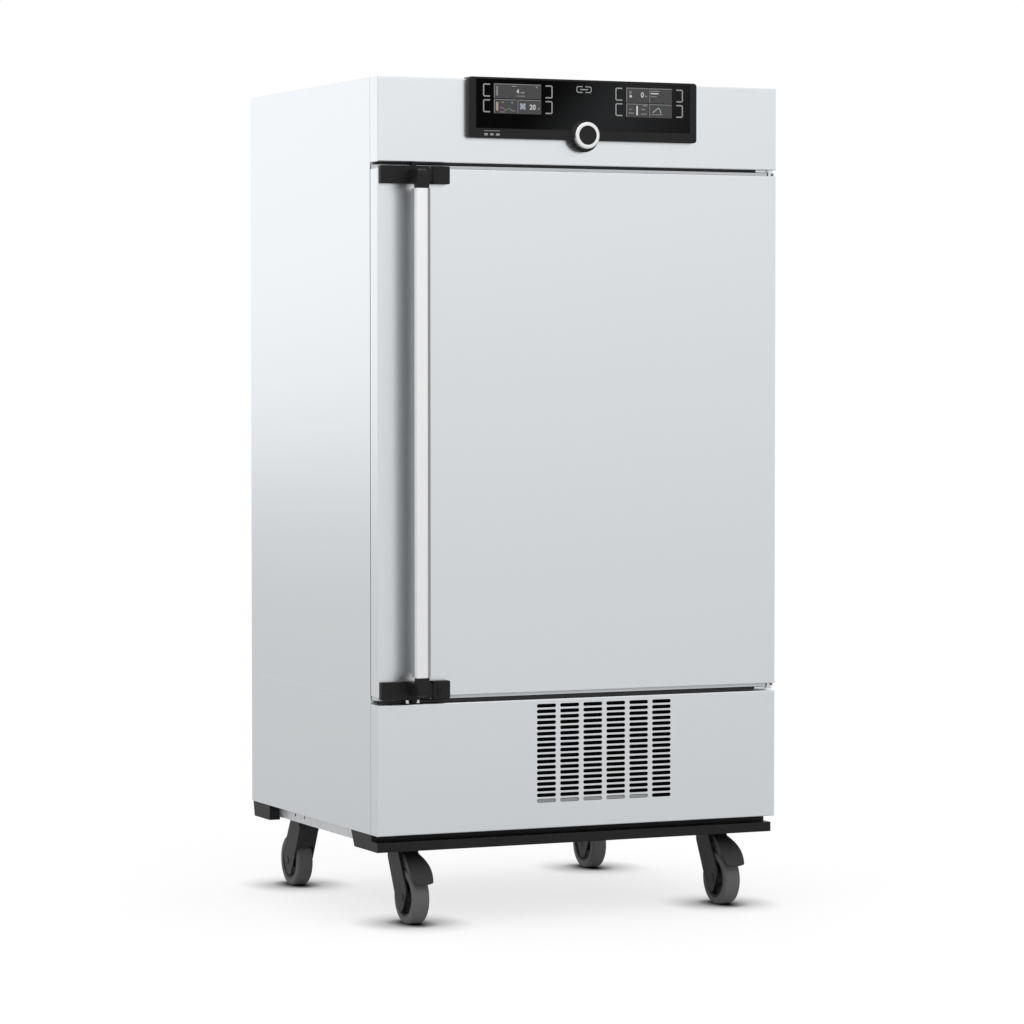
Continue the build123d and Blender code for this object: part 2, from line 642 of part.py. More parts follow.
def hinge_plates():
    """Plates in the gaps above and below the door, with the pins that carry it."""
    top_z = Z_DOOR_TOP + FRAME_STEP + FRAME_GAP
    low_z = Z_DOOR - FRAME_STEP - FRAME_GAP - PLATE_T
    pin_l = FRAME_GAP + FRAME_STEP + BUSH_L - 2
    with BuildPart() as plates:
        for z, pin_z in ((top_z, top_z), (low_z, low_z + PLATE_T)):
            with BuildSketch(at_z(z)):
                rect(HALF - 4 - PLATE_W, HALF - 4, HINGE_Y, Y_BODY)
                with Locations((HINGE_X, HINGE_Y)):
                    Circle(7)
            extrude(amount=PLATE_T)
            with BuildSketch(at_z(pin_z)):
                with Locations((HINGE_X, HINGE_Y)):
                    Circle(PIN_R)
            extrude(amount=pin_l if pin_z > z else -pin_l)
    return plates.part


keep(hinge_plates(), "door_hinge_plates")

# Handle with its two lock levers

DOOR_LEFT = -HALF
PIVOT = (DOOR_LEFT + PIVOT_X, Y_FRONT - PIVOT_OUT)
BRACKET_Z = (Z_DOOR - BRACKET_OVER, Z_DOOR_TOP + BRACKET_OVER - BRACKET_H)
LUG = 4.0                     # height of the block lugs above and below the knuckle
BRACKET_R = 3.0
LEVER_PIN_R = 3.0
Y_BAR_FRONT = Y_FRONT - HANDLE_REACH
BAR_MID = DOOR_LEFT + BAR_LEFT + BAR_W / 2
BAR_Z0 = Z_DOOR + BAR_END

with BuildPart() as lever_blocks:
    for z in BRACKET_Z:
        with BuildSketch(at_z(z)):
            rect(PIVOT[0], DOOR_LEFT + BRACKET_L, Y_FRONT - BLOCK_D, Y_FRONT)
            with Locations(PIVOT):
                Circle(KNUCKLE_R - 1)
        extrude(amount=BRACKET_H)
        with BuildSketch(at_z(z + LUG)):
            with Locations(PIVOT):
                Circle(KNUCKLE_R + TOUCH)
            rect(PIVOT[0] - 20, PIVOT[0], Y_FRONT - BLOCK_D - 1, Y_FRONT + 1)
        extrude(amount=BRACKET_H - 2 * LUG, mode=Mode.SUBTRACT)
    fillet(lever_blocks.edges().filter_by(Axis.Y).group_by(Axis.X)[-1], BRACKET_R)

with BuildPart() as lever_pins:
    for z in BRACKET_Z:
        with BuildSketch(at_z(z + LUG)):
            with Locations(PIVOT):
                Circle(LEVER_PIN_R)
        extrude(amount=BRACKET_H - 2 * LUG)

TONGUE_T = 4.0
TONGUE_W = 8.0
TONGUE_END = 8.0              # the tongues end this far behind the front face
TONGUE_X = DOOR_LEFT + 70.25
ARM_D = 9.0
HORN_NEAR = 1.0               # arm edge to the horn, on the side of the bar
HORN_FAR = 7.5                # arm edge to the horn, on the other side
HORN_R = 10.0                 # outer shoulder of the horn
HORN_TAPER = 4.0              # the horn narrows by this much on each side towards its shoulder


def horn(z, top):
    """Post from the arm to the bar: round shoulder, narrower at its far end, socket for the bar."""
    up = 1 if top else -1
    near = (z if top else z + BRACKET_H) + up * HORN_NEAR
    far = (z + BRACKET_H if top else z) - up * HORN_FAR
    tip = BAR_Z0 + BAR_LENGTH if top else BAR_Z0
    root = Y_FRONT - ARM_D + 1
    back = Y_BAR_FRONT + BAR_D
    left = BAR_MID - BAR_W / 2
    right = BAR_MID + BAR_W / 2
    with BuildPart() as post:
        with BuildSketch(at_x(left)):
            with BuildLine():
                bend = Y_BAR_FRONT + HORN_R
                part_way = HORN_R * (1 - cos(radians(45)))
                Polyline((root, far), (bend, far))
                ThreePointArc((bend, far), (Y_BAR_FRONT + part_way, far - up * part_way),
                              (Y_BAR_FRONT, far - up * HORN_R))
                Polyline((Y_BAR_FRONT, far - up * HORN_R), (Y_BAR_FRONT, tip), (back, tip),
                         (back, near - up * 4), (back + 4, near), (root, near), (root, far))
            make_face()
        extrude(amount=BAR_W)
        with BuildSketch(at_y(Y_BAR_FRONT - 1)):
            with BuildLine():
                Polyline((left, tip), (left, near), (left + HORN_TAPER, far),
                         (right - HORN_TAPER, far), (right, near), (right, tip), close=True)
            make_face()
        extrude(amount=-HANDLE_REACH, mode=Mode.INTERSECT)
    return post.part


def lever(z, top):
    """Lock lever: flat arm on the door, knuckle at the pivot, horn that holds the bar, tongue."""
    knuckle_h = BRACKET_H - 2 * LUG - 2 * TOUCH
    with BuildPart() as arm:
        with BuildSketch(at_z(z)):
            with BuildLine():
                Polyline((DOOR_LEFT + BRACKET_IN, Y_FRONT - TOUCH), (PIVOT[0], Y_FRONT - TOUCH),
                         (PIVOT[0], Y_FRONT - BLOCK_D + 1), (PIVOT[0] - 24, Y_FRONT - ARM_D - 3),
                         (DOOR_LEFT + BRACKET_IN, Y_FRONT - ARM_D), close=True)
            make_face()
        extrude(amount=BRACKET_H)
        fillet(arm.edges().filter_by(Axis.Y).group_by(Axis.X)[0], BRACKET_R)
        for lug_z in (z - 1, z + BRACKET_H - LUG - TOUCH):
            with BuildSketch(at_z(lug_z)):
                rect(PIVOT[0] - KNUCKLE_R - 2, PIVOT[0] + 20, Y_FRONT - 40, Y_FRONT + 1)
            extrude(amount=LUG + 1 + TOUCH, mode=Mode.SUBTRACT)
        with BuildSketch(at_z(z + LUG + TOUCH)):
            rect(PIVOT[0] - 1, PIVOT[0] + 20, Y_FRONT - 40, Y_FRONT + 1)
        extrude(amount=knuckle_h, mode=Mode.SUBTRACT)
        with BuildSketch(at_z(z + LUG + TOUCH)):
            with Locations(PIVOT):
                Circle(KNUCKLE_R)
        extrude(amount=knuckle_h)
        with BuildSketch(at_z(z + LUG)):
            with Locations(PIVOT):
                Circle(LEVER_PIN_R + RUNNING)
        extrude(amount=BRACKET_H - 2 * LUG, mode=Mode.SUBTRACT)
        add(horn(z, top))
        if top:
            gap_z = Z_DOOR_TOP + FRAME_STEP + FRAME_GAP
            riser = (z + BRACKET_H - 1, gap_z + TONGUE_T)
        else:
            gap_z = Z_DOOR - FRAME_STEP - FRAME_GAP - TONGUE_T
            riser = (gap_z, z + 1)
        with BuildSketch(at_y(Y_FRONT - TOUCH)):
            rect(TONGUE_X - TONGUE_W / 2, TONGUE_X + TONGUE_W / 2, *riser)
        extrude(amount=4)
        with BuildSketch(at_z(gap_z)):
            nose = Y_FRONT + TONGUE_END - TONGUE_W / 2
            rect(TONGUE_X - TONGUE_W / 2, TONGUE_X + TONGUE_W / 2, Y_FRONT - TOUCH - 4, nose)
            with Locations((TONGUE_X, nose)):
                Circle(TONGUE_W / 2)
        extrude(amount=TONGUE_T)
    return arm.part


keep_group([lever(BRACKET_Z[0], False), lever(BRACKET_Z[1], True)], "handle_levers")

with BuildPart() as handle_bar:
    with BuildSketch(at_z(BAR_Z0 + TOUCH)):
        with Locations((BAR_MID, Y_BAR_FRONT + BAR_D / 2)):
            RectangleRounded(BAR_W, BAR_D, 3.5)
    extrude(amount=BAR_LENGTH - 2 * TOUCH)
keep(handle_bar.part, "handle_bar")

with BuildPart() as key_barrel:
    with BuildSketch(at_y(Y_FRONT - BLOCK_D)):
        with Locations((PIVOT[0] + 9.5, BRACKET_Z[0] + BRACKET_H / 2)):
            Circle(4.5)
            Rectangle(1.6, 6, mode=Mode.SUBTRACT)
    extrude(amount=1.2)
keep_group([lever_blocks.part, lever_pins.part, key_barrel.part], "handle_pivot_blocks")

ROLLER_R = 4.0
with BuildPart() as strikes:
    with BuildSketch(at_z(Z_LOWER)):
        with Locations((TONGUE_X, Y_FRONT + 1 + ROLLER_R)):
            with GridLocations(TONGUE_W + 2 * ROLLER_R + 4.5, 0, 2, 1):
                Circle(ROLLER_R)
    extrude(amount=GAP_BELOW_DOOR - FRAME_STEP - 0.7)
keep(strikes.part, "lock_rollers")

# Control panel

Z_BEZEL = Z_TOP + BEZEL_TOP - BEZEL_H
Z_KNOB = Z_BEZEL + KNOB_UP
Z_SCREEN = Z_TOP - SCREEN_DROP - SCREEN_H / 2
Y_PANEL = Y_FRONT - BEZEL_D
BOSS_R = KEY_R + 0.2
with BuildPart() as bezel:
    with BuildSketch(at_y(Y_FRONT)):
        with Locations((0, Z_BEZEL + BEZEL_H / 2)):
            RectangleRounded(BEZEL_W, BEZEL_H, BEZEL_R)
        with Locations((0, Z_KNOB)):
            Circle(COLLAR_R)
    extrude(amount=BEZEL_D)
    fillet(bezel.faces().sort_by(Axis.Y)[0].edges(), 1.5)
    with BuildSketch(at_z(Z_TOP)):
        rect(-BEZEL_W / 2 + BEZEL_R, BEZEL_W / 2 - BEZEL_R, Y_FRONT - 2, Y_FRONT + BEZEL_LIP)
    extrude(amount=BEZEL_TOP)
    with BuildSketch(at_y(Y_PANEL)):
        rect(-PANE_W / 2, PANE_W / 2, Z_BEZEL + PANE_RIM, Z_TOP)
        with Locations((0, Z_KNOB)):
            Circle(COLLAR_R - 2, mode=Mode.SUBTRACT)
    extrude(amount=-PANE_T, mode=Mode.SUBTRACT)
    with BuildSketch(at_y(Y_PANEL + PANE_T)):
        for side in (-1, 1):
            with Locations((side * SCREEN_X, Z_SCREEN)):
                Rectangle(SCREEN_W, SCREEN_H)
    extrude(amount=-6, mode=Mode.SUBTRACT)
    with BuildSketch(at_y(Y_PANEL)):
        with Locations((0, Z_KNOB)):
            Circle(BOSS_R)
    extrude(amount=6)
    with BuildSketch(at_y(Y_PANEL - 7)):
        with Locations((0, Z_KNOB)):
            Circle(AXLE_R + 0.1)
    extrude(amount=-(BEZEL_D + 4), mode=Mode.SUBTRACT)
keep(bezel.part, "control_bezel")

with BuildPart() as pane:
    with BuildSketch(at_y(Y_PANEL + PANE_T)):
        rect(-PANE_W / 2 + 0.2, PANE_W / 2 - 0.2, Z_BEZEL + PANE_RIM + 0.2, Z_TOP - 0.2)
        with Locations((0, Z_KNOB)):
            Circle(COLLAR_R - 1.8, mode=Mode.SUBTRACT)
    extrude(amount=PANE_T)
keep(pane.part, "control_glass")

with BuildPart() as screens:
    with BuildSketch(at_y(Y_PANEL + PANE_T)):
        with Locations((-SCREEN_X, Z_SCREEN), (SCREEN_X, Z_SCREEN)):
            Rectangle(SCREEN_W - 2 * TOUCH, SCREEN_H - 2 * TOUCH)
    extrude(amount=-5)
keep(screens.part, "display_modules")

with BuildPart() as knob_ring:
    with BuildSketch(at_y(Y_PANEL - TOUCH)):
        with Locations((0, Z_KNOB)):
            Circle(KNOB_R)
            Circle(BOSS_R + RUNNING, mode=Mode.SUBTRACT)
    extrude(amount=KNOB_D)
    fillet(knob_ring.faces().sort_by(Axis.Y)[0].edges().sort_by(SortBy.LENGTH)[-1], 2.5)
keep(knob_ring.part, "turn_ring")

with BuildPart() as confirm_key:
    with BuildSketch(at_y(Y_PANEL - TOUCH - KNOB_D + 1)):
        with Locations((0, Z_KNOB)):
            Circle(KEY_R)
    extrude(amount=-(KNOB_D - 1 - 6 - KEY_TRAVEL - 0.4))
    fillet(confirm_key.faces().sort_by(Axis.Y)[0].edges(), 1.5)
    with BuildSketch(at_y(Y_PANEL - 10)):
        with Locations((0, Z_KNOB)):
            Circle(AXLE_R)
    extrude(amount=-18)
keep(confirm_key.part, "confirm_key")

BOARD_W = BEZEL_W - 30
BOARD_H = 70.0
BOARD_Z = Z_TOP - 62
BOARD_OUT = 6.0               # board behind the front face
POWER_UNIT = (300.0, 180.0, 70.0)
with BuildPart() as control_board:
    with BuildSketch(at_y(Y_FRONT + BOARD_OUT)):
        with Locations((0, BOARD_Z)):
            Rectangle(BOARD_W, BOARD_H)
    extrude(amount=-2)
    with BuildSketch(at_y(Y_FRONT + BOARD_OUT)):
        with Locations((0, BOARD_Z)):
            with GridLocations(BOARD_W - 14, BOARD_H - 14, 2, 2):
                Circle(3)
    extrude(amount=BOARD_OUT - SHEET)

with BuildPart() as power_unit:
    with BuildSketch(at_z(INSULATION_TOP)):
        with Locations((-30, Y_BODY + 210)):
            Rectangle(POWER_UNIT[0], POWER_UNIT[1])
    extrude(amount=POWER_UNIT[2])
    fillet(power_unit.edges().filter_by(Axis.Z), 4)
keep_group([control_board.part, power_unit.part], "control_electronics")

# Machine room under the chamber

Z_TRAY = Z_CASE
TRAY_T = 2.0
Z_FLOOR = Z_TRAY + TRAY_T
COMP_IN = 197.0               # compressor axis from the left side
COMP_BACK = 378.0             # and from the front face
with BuildPart() as tray:
    with BuildSketch(at_z(Z_TRAY)):
        rect(-HALF + INSET, HALF - INSET, Y_BODY + SHEET, Y_BACK - SHEET)
    extrude(amount=TRAY_T)
    with BuildSketch(at_z(Z_TRAY - 1)):
        for side in (-1, 1):
            with Locations((side * (HALF - COMP_IN - 15), Y_FRONT + COMP_BACK)):
                with GridLocations(90, 30, 2, 4):
                    SlotOverall(60, 12)
    extrude(amount=TRAY_T + 2, mode=Mode.SUBTRACT)

COMP = (COMP_IN - HALF, Y_FRONT + COMP_BACK)
COMP_R = 78.0
COMP_H = 190.0
COMP_FOOT = 16.0
with BuildPart() as compressor:
    with BuildSketch(at_z(Z_FLOOR + COMP_FOOT)):
        with Locations(COMP):
            Circle(COMP_R)
    extrude(amount=COMP_H)
    fillet(compressor.faces().sort_by(Axis.Z)[-1].edges(), 42)
    fillet(compressor.faces().sort_by(Axis.Z)[0].edges(), 12)
    with BuildSketch(at_z(Z_TRAY + 88)):
        with Locations(COMP):
            Circle(COMP_R + 5)
    extrude(amount=6)
    with BuildSketch(at_z(Z_FLOOR + COMP_FOOT)):
        with Locations(COMP):
            RectangleRounded(180, 130, 10)
    extrude(amount=4)
    with BuildSketch(at_z(Z_FLOOR)):
        with Locations(COMP):
            with GridLocations(156, 106, 2, 2):
                Circle(11)
    extrude(amount=COMP_FOOT)
keep(compressor.part, "compressor")

Y_COND = Y_BODY + 20
COND_D = 44.0
COND_W = 240.0
COND_H = 190.0
FINS = 16
with BuildPart() as condenser:
    with BuildSketch(at_y(Y_COND)):
        for x in (GRILLE_X - COND_W / 2, GRILLE_X + COND_W / 2 - 3):
            rect(x, x + 3, Z_FLOOR, Z_FLOOR + COND_H)
        with Locations((GRILLE_X, Z_FLOOR + COND_H / 2)):
            with GridLocations(COND_W / FINS, 0, FINS - 1, 1):
                Rectangle(1.2, COND_H - 16)
    extrude(amount=-COND_D)
    with BuildSketch(at_x(GRILLE_X - COND_W / 2)):
        with Locations((Y_COND + COND_D / 2, Z_FLOOR + COND_H / 2)):
            with GridLocations(22, 34, 2, 5):
                Circle(4)
    extrude(amount=COND_W)
keep(condenser.part, "condenser")

COND_FAN_R = 80.0
Y_SHROUD = Y_COND + COND_D + TOUCH
with BuildPart() as shroud:
    with BuildSketch(at_y(Y_SHROUD)):
        with Locations((GRILLE_X, Z_FLOOR + COND_H / 2)):
            Rectangle(COND_W, COND_H)
            Circle(COND_FAN_R + 6, mode=Mode.SUBTRACT)
    extrude(amount=-2)
    with BuildSketch(at_y(Y_SHROUD)):
        with Locations((GRILLE_X, Z_FLOOR + COND_H / 2)):
            Circle(COND_FAN_R + 8)
            Circle(COND_FAN_R + 6, mode=Mode.SUBTRACT)
    extrude(amount=-40)
    with BuildSketch(at_y(Y_SHROUD + 40)):
        with Locations((GRILLE_X, Z_FLOOR + COND_H / 2)):
            with PolarLocations(0, 3, start_angle=90):
                with Locations((COND_FAN_R / 2, 0)):
                    Rectangle(COND_FAN_R + 15, 8)
            Circle(34)
    extrude(amount=-3)
    with BuildSketch(at_y(Y_SHROUD + 40)):
        with Locations((GRILLE_X, Z_FLOOR + COND_H / 2)):
            Circle(30)
    extrude(amount=-46)
    with BuildSketch(at_y(Y_SHROUD + 39)):
        with Locations((GRILLE_X, Z_FLOOR + COND_H / 2)):
            Circle(4 + RUNNING)
    extrude(amount=-30, mode=Mode.SUBTRACT)
keep(shroud.part, "condenser_fan_housing")

keep(blade_wheel(Y_SHROUD + 18, GRILLE_X, Z_FLOOR + COND_H / 2, COND_FAN_R, 22, 5, 44, 28, 4,
                 Y_SHROUD + 60), "condenser_fan")

with BuildPart() as pipes:
    comp_top = Z_FLOOR + COMP_FOOT + COMP_H
    pipe_z = comp_top + 24
    loop = [(COMP[0] + 30, COMP[1] - 15, comp_top), (COMP[0] + 30, COMP[1] - 15, pipe_z),
            (COMP[0] + 30, Y_COND + 22, pipe_z), (GRILLE_X - 60, Y_COND + 22, pipe_z),
            (GRILLE_X - 60, Y_COND + 22, Z_TRAY + COND_H - 4)]
    with BuildLine() as route:
        FilletPolyline(*loop, radius=9)
    with BuildSketch(Plane(route.wires()[0] @ 0, z_dir=route.wires()[0] % 0)):
        Circle(3.5)
    sweep()
keep_group([evaporator.part, pipes.part], "refrigerant_tubes")

INLET_X = HALF - 67
with BuildPart() as inlet:
    with BuildSketch(at_y(Y_BACK)):
        with Locations((INLET_X, Z_CASE + 40)):
            RectangleRounded(58, 50, 3)
    extrude(amount=-3)
    with BuildSketch(at_y(Y_BACK + 3)):
        with Locations((INLET_X, Z_CASE + 40)):
            RectangleRounded(30, 22, 4)
    extrude(amount=1.5, mode=Mode.SUBTRACT)
    with BuildSketch(at_y(Y_BACK + 1.5)):
        with Locations((INLET_X, Z_CASE + 40)):
            with Locations((-7, -2), (0, 3), (7, -2)):
                Rectangle(2, 5)
    extrude(amount=-1.2)
keep(inlet.part, "power_inlet")

# Base: black beam with corner wings, rear feet, galvanised rails welded under the tray

BEAM_D = 34.0
BEAM_WALL = 5.0
WING_T = 19.0
WING_L = 130.0
WING_SLANT = 17.0
FOOT_L = 91.0
FOOT_T = 22.0
Y_BEAM = Y_FRONT + BEAM_BACK
Y_WALL = Y_BEAM + BEAM_D - BEAM_WALL
with BuildPart() as base_trim:
    with BuildSketch(at_x(-HALF + BEAM_IN)):
        rect(Y_BEAM, Y_BEAM + BEAM_D, BEAM_BOTTOM, BEAM_BOTTOM + BEAM_H)
        rect(Y_WALL, Y_BEAM + BEAM_D, BEAM_BOTTOM, Z_CASE)
    extrude(amount=WIDTH - 2 * BEAM_IN)
    for side in (-1, 1):
        outer = side * (HALF - BEAM_IN)
        with BuildSketch(at_x(outer)):
            with BuildLine():
                Polyline((Y_BEAM, BEAM_BOTTOM), (Y_BEAM + WING_L - WING_SLANT, BEAM_BOTTOM),
                         (Y_BEAM + WING_L, Z_CASE), (Y_WALL, Z_CASE), (Y_WALL, BEAM_BOTTOM + BEAM_H),
                         (Y_BEAM, BEAM_BOTTOM + BEAM_H), close=True)
            make_face()
            with BuildLine():
                Polyline((Y_BACK - FOOT_L, BEAM_BOTTOM + 1), (Y_BACK - 7, BEAM_BOTTOM + 1),
                         (Y_BACK, Z_CASE), (Y_BACK - FOOT_L, Z_CASE), close=True)
            make_face()
        extrude(amount=-side * WING_T)
        with BuildSketch(at_x(outer)):
            rect(Y_BACK - FOOT_L, Y_BACK - 12, BEAM_BOTTOM + 1, Z_CASE)
        extrude(amount=-side * FOOT_T)
keep(base_trim.part, "base_trim")

RAIL_HOLES = (430.0, 478.5)
with BuildPart() as base_frame:
    add(tray.part)
    for side in (-1, 1):
        outer = side * (HALF - RAIL_IN)
        inner = outer - side * RAIL_W
        with BuildSketch(at_y(Y_BEAM + BEAM_D + 1)):
            rect(outer, inner, RAIL_BOTTOM, Z_CASE)
            rect(outer - side * 2, inner + side * 2, RAIL_BOTTOM + 2, Z_CASE, mode=Mode.SUBTRACT)
        extrude(amount=-(Y_BACK - FOOT_L - 1 - (Y_BEAM + BEAM_D + 1)))
        with BuildSketch(at_x(outer + side)):
            for y in RAIL_HOLES:
                with Locations((Y_FRONT + y, RAIL_BOTTOM + 13)):
                    Circle(3)
        extrude(amount=-side * 4, mode=Mode.SUBTRACT)
keep(base_frame.part, "base_frame")

# Castors


def castor_places():
    """Name, swivel x, swivel y and the side on which the wheel trails."""
    x = HALF - SWIVEL_IN
    front = Y_FRONT + SWIVEL_FRONT
    rear = Y_FRONT + SWIVEL_REAR
    return (("front_left", -x, front, -1), ("front_right", x, front, -1),
            ("rear_left", -x, rear, 1), ("rear_right", x, rear, 1))


HEAD_Z = FORK_TOP + 2 * TOUCH
HEAD_R = 14.0
with BuildPart() as heads:
    for name, x, y, trail in castor_places():
        with BuildSketch(at_z(BEAM_BOTTOM + 1)):
            with Locations((x, y)):
                RectangleRounded(96, 78, 8)
        extrude(amount=RAIL_BOTTOM - BEAM_BOTTOM - 1)
        with BuildSketch(at_z(HEAD_Z)):
            with Locations((x, y)):
                Circle(HEAD_R)
        extrude(amount=BEAM_BOTTOM + 1 - HEAD_Z)
        with BuildSketch(at_z(HEAD_Z)):
            with Locations((x, y)):
                Circle(KINGPIN_R)
        extrude(amount=-20)
keep(heads.part, "castor_heads")

CHEEK_IN = TREAD_W / 2 + CHEEK_GAP
CHEEK_OUT = CHEEK_IN + CHEEK
CROWN_R = 14.0                # round upper corners of the fork
PEDAL_PIVOT = (16.0, 112.0)   # from the swivel axis towards the wheel, above the floor
PEDAL_KNUCKLE = 5.0
PEDAL_PIN_R = 2.5


def fork(x, y, trail, braked):
    """Castor fork: compact head over two broad leaf-shaped cheeks that hide most of the wheel."""
    axle_y = y + trail * CASTOR_TRAIL
    top_z = FORK_TOP - CROWN_R
    with BuildPart() as body:
        with BuildSketch(at_x(x - CHEEK_OUT)):
            for out, z, radius in ((CASTOR_TRAIL - 2, WHEEL_R + 12, 22), (CASTOR_TRAIL - 8, WHEEL_R - 12, 16),
                                   (10, top_z, CROWN_R), (-16, top_z, CROWN_R)):
                with Locations((y + trail * out, z)):
                    Circle(radius)
            make_hull()
        extrude(amount=2 * CHEEK_OUT)
        with BuildSketch(at_x(x - CHEEK_IN)):
            with Locations((axle_y, WHEEL_R)):
                Circle(WHEEL_R + 5)
            rect(axle_y - 70, axle_y + 70, -10, WHEEL_R)
            if braked:
                lug_y = y + trail * PEDAL_PIVOT[0]
                with Locations((lug_y, PEDAL_PIVOT[1])):
                    Circle(PEDAL_KNUCKLE + 2)
                rect(lug_y, lug_y + trail * 30, PEDAL_PIVOT[1] - 30, PEDAL_PIVOT[1] + PEDAL_KNUCKLE + 4)
        extrude(amount=2 * CHEEK_IN, mode=Mode.SUBTRACT)
        with BuildSketch(at_z(FORK_TOP - 40)):
            with Locations((x, y)):
                Circle(KINGPIN_R + RUNNING)
        extrude(amount=60, mode=Mode.SUBTRACT)
        with BuildSketch(at_x(x - CHEEK_OUT - 1)):
            with Locations((axle_y, WHEEL_R)):
                Circle(AXLE_R)
        extrude(amount=2 * CHEEK_OUT + 2, mode=Mode.SUBTRACT)
    return body.part


def axle(x, y, trail):
    """Axle bolt with a flat head at each end."""
    axle_y = y + trail * CASTOR_TRAIL
    with BuildPart() as bolt:
        with BuildSketch(at_x(x - CHEEK_OUT)):
            with Locations((axle_y, WHEEL_R)):
                Circle(AXLE_R)
        extrude(amount=2 * CHEEK_OUT)
        for side in (-1, 1):
            with BuildSketch(at_x(x + side * CHEEK_OUT)):
                with Locations((axle_y, WHEEL_R)):
                    Circle(AXLE_R + 1.5)
            extrude(amount=side * 1.2)
    return bolt.part


def tyre(x, y, trail):
    """Soft grey tread with round shoulders."""
    axle_y = y + trail * CASTOR_TRAIL
    with BuildPart() as ring:
        with BuildSketch(Plane.XZ.offset(-axle_y)):
            with Locations((x, WHEEL_R + (WHEEL_R + HUB_R) / 2)):
                Rectangle(TREAD_W, WHEEL_R - HUB_R)
        revolve(axis=Axis((x, axle_y, WHEEL_R), (1, 0, 0)))
        outer = ring.edges().filter_by(GeomType.CIRCLE).group_by(SortBy.LENGTH)[-1]
        fillet(outer, 5)
    return ring.part


def wheel_core(x, y, trail):
    """Plastic wheel core with a deep dish on each side and a long hub."""
    axle_y = y + trail * CASTOR_TRAIL
    half = TREAD_W / 2 - 1
    with BuildPart() as core:
        with BuildSketch(Plane.XZ.offset(-axle_y)):
            with BuildLine():
                Polyline((x - half, WHEEL_R + AXLE_R + RUNNING), (x + half, WHEEL_R + AXLE_R + RUNNING),
                         (x + half, WHEEL_R + 13), (x + 5, WHEEL_R + 15), (x + 5, WHEEL_R + HUB_R - 6),
                         (x + half, WHEEL_R + HUB_R - 4), (x + half, WHEEL_R + HUB_R - RUNNING),
                         (x - half, WHEEL_R + HUB_R - RUNNING), (x - half, WHEEL_R + HUB_R - 4),
                         (x - 5, WHEEL_R + HUB_R - 6), (x - 5, WHEEL_R + 15), (x - half, WHEEL_R + 13),
                         close=True)
            make_face()
        revolve(axis=Axis((x, axle_y, WHEEL_R), (1, 0, 0)))
    return core.part


VISOR_REAR = 29.0             # rear wall of the visor from the swivel axis
VISOR_TIP = 96.0              # its front corners
VISOR_BOW = 4.0               # its front edge is this much further out in the middle
VISOR_TOP = 131.0
VISOR_W = 42.0                # widest place, in front of the cheeks
VISOR_NECK = 30.0             # width at the rear wall, between the cheeks
VISOR_WALL = 2.8
VISOR_FREE = 4.5              # clearance over the wheel beside the pivot, and twice that in front


def visor_block(x, y, trail, wall):
    """Beak of the pedal as a block: its side view crossed with its plan, smaller by the wall."""
    rear = VISOR_REAR + wall
    tip = VISOR_TIP - wall
    bow = tip + VISOR_BOW

    def side(out, z):
        return (y + trail * out, z - wall)

    def plan(out, width, hand):
        return (x + hand * (width / 2 - wall), y + trail * out)

    with BuildPart() as block:
        with BuildSketch(at_x(x - VISOR_W)):
            with BuildLine():
                ThreePointArc(side(rear, VISOR_TOP), side(68, 113.5), side(VISOR_TIP + 5, 78))
                Polyline(side(VISOR_TIP + 5, 78), side(VISOR_TIP + 5, WHEEL_R), side(rear, WHEEL_R),
                         side(rear, VISOR_TOP))
            make_face()
        extrude(amount=2 * VISOR_W)
        with BuildSketch(at_z(WHEEL_R - 10)):
            with BuildLine():
                for hand in (-1, 1):
                    Spline(plan(rear, VISOR_NECK, hand), plan(46, VISOR_NECK + 3, hand),
                           plan(72, VISOR_W, hand), plan(tip, VISOR_W - 4, hand))
                ThreePointArc(plan(tip, VISOR_W - 4, -1), (x, y + trail * bow),
                              plan(tip, VISOR_W - 4, 1))
                Line(plan(rear, VISOR_NECK, -1), plan(rear, VISOR_NECK, 1))
            make_face()
        extrude(amount=FORK_TOP, mode=Mode.INTERSECT)
    return block.part


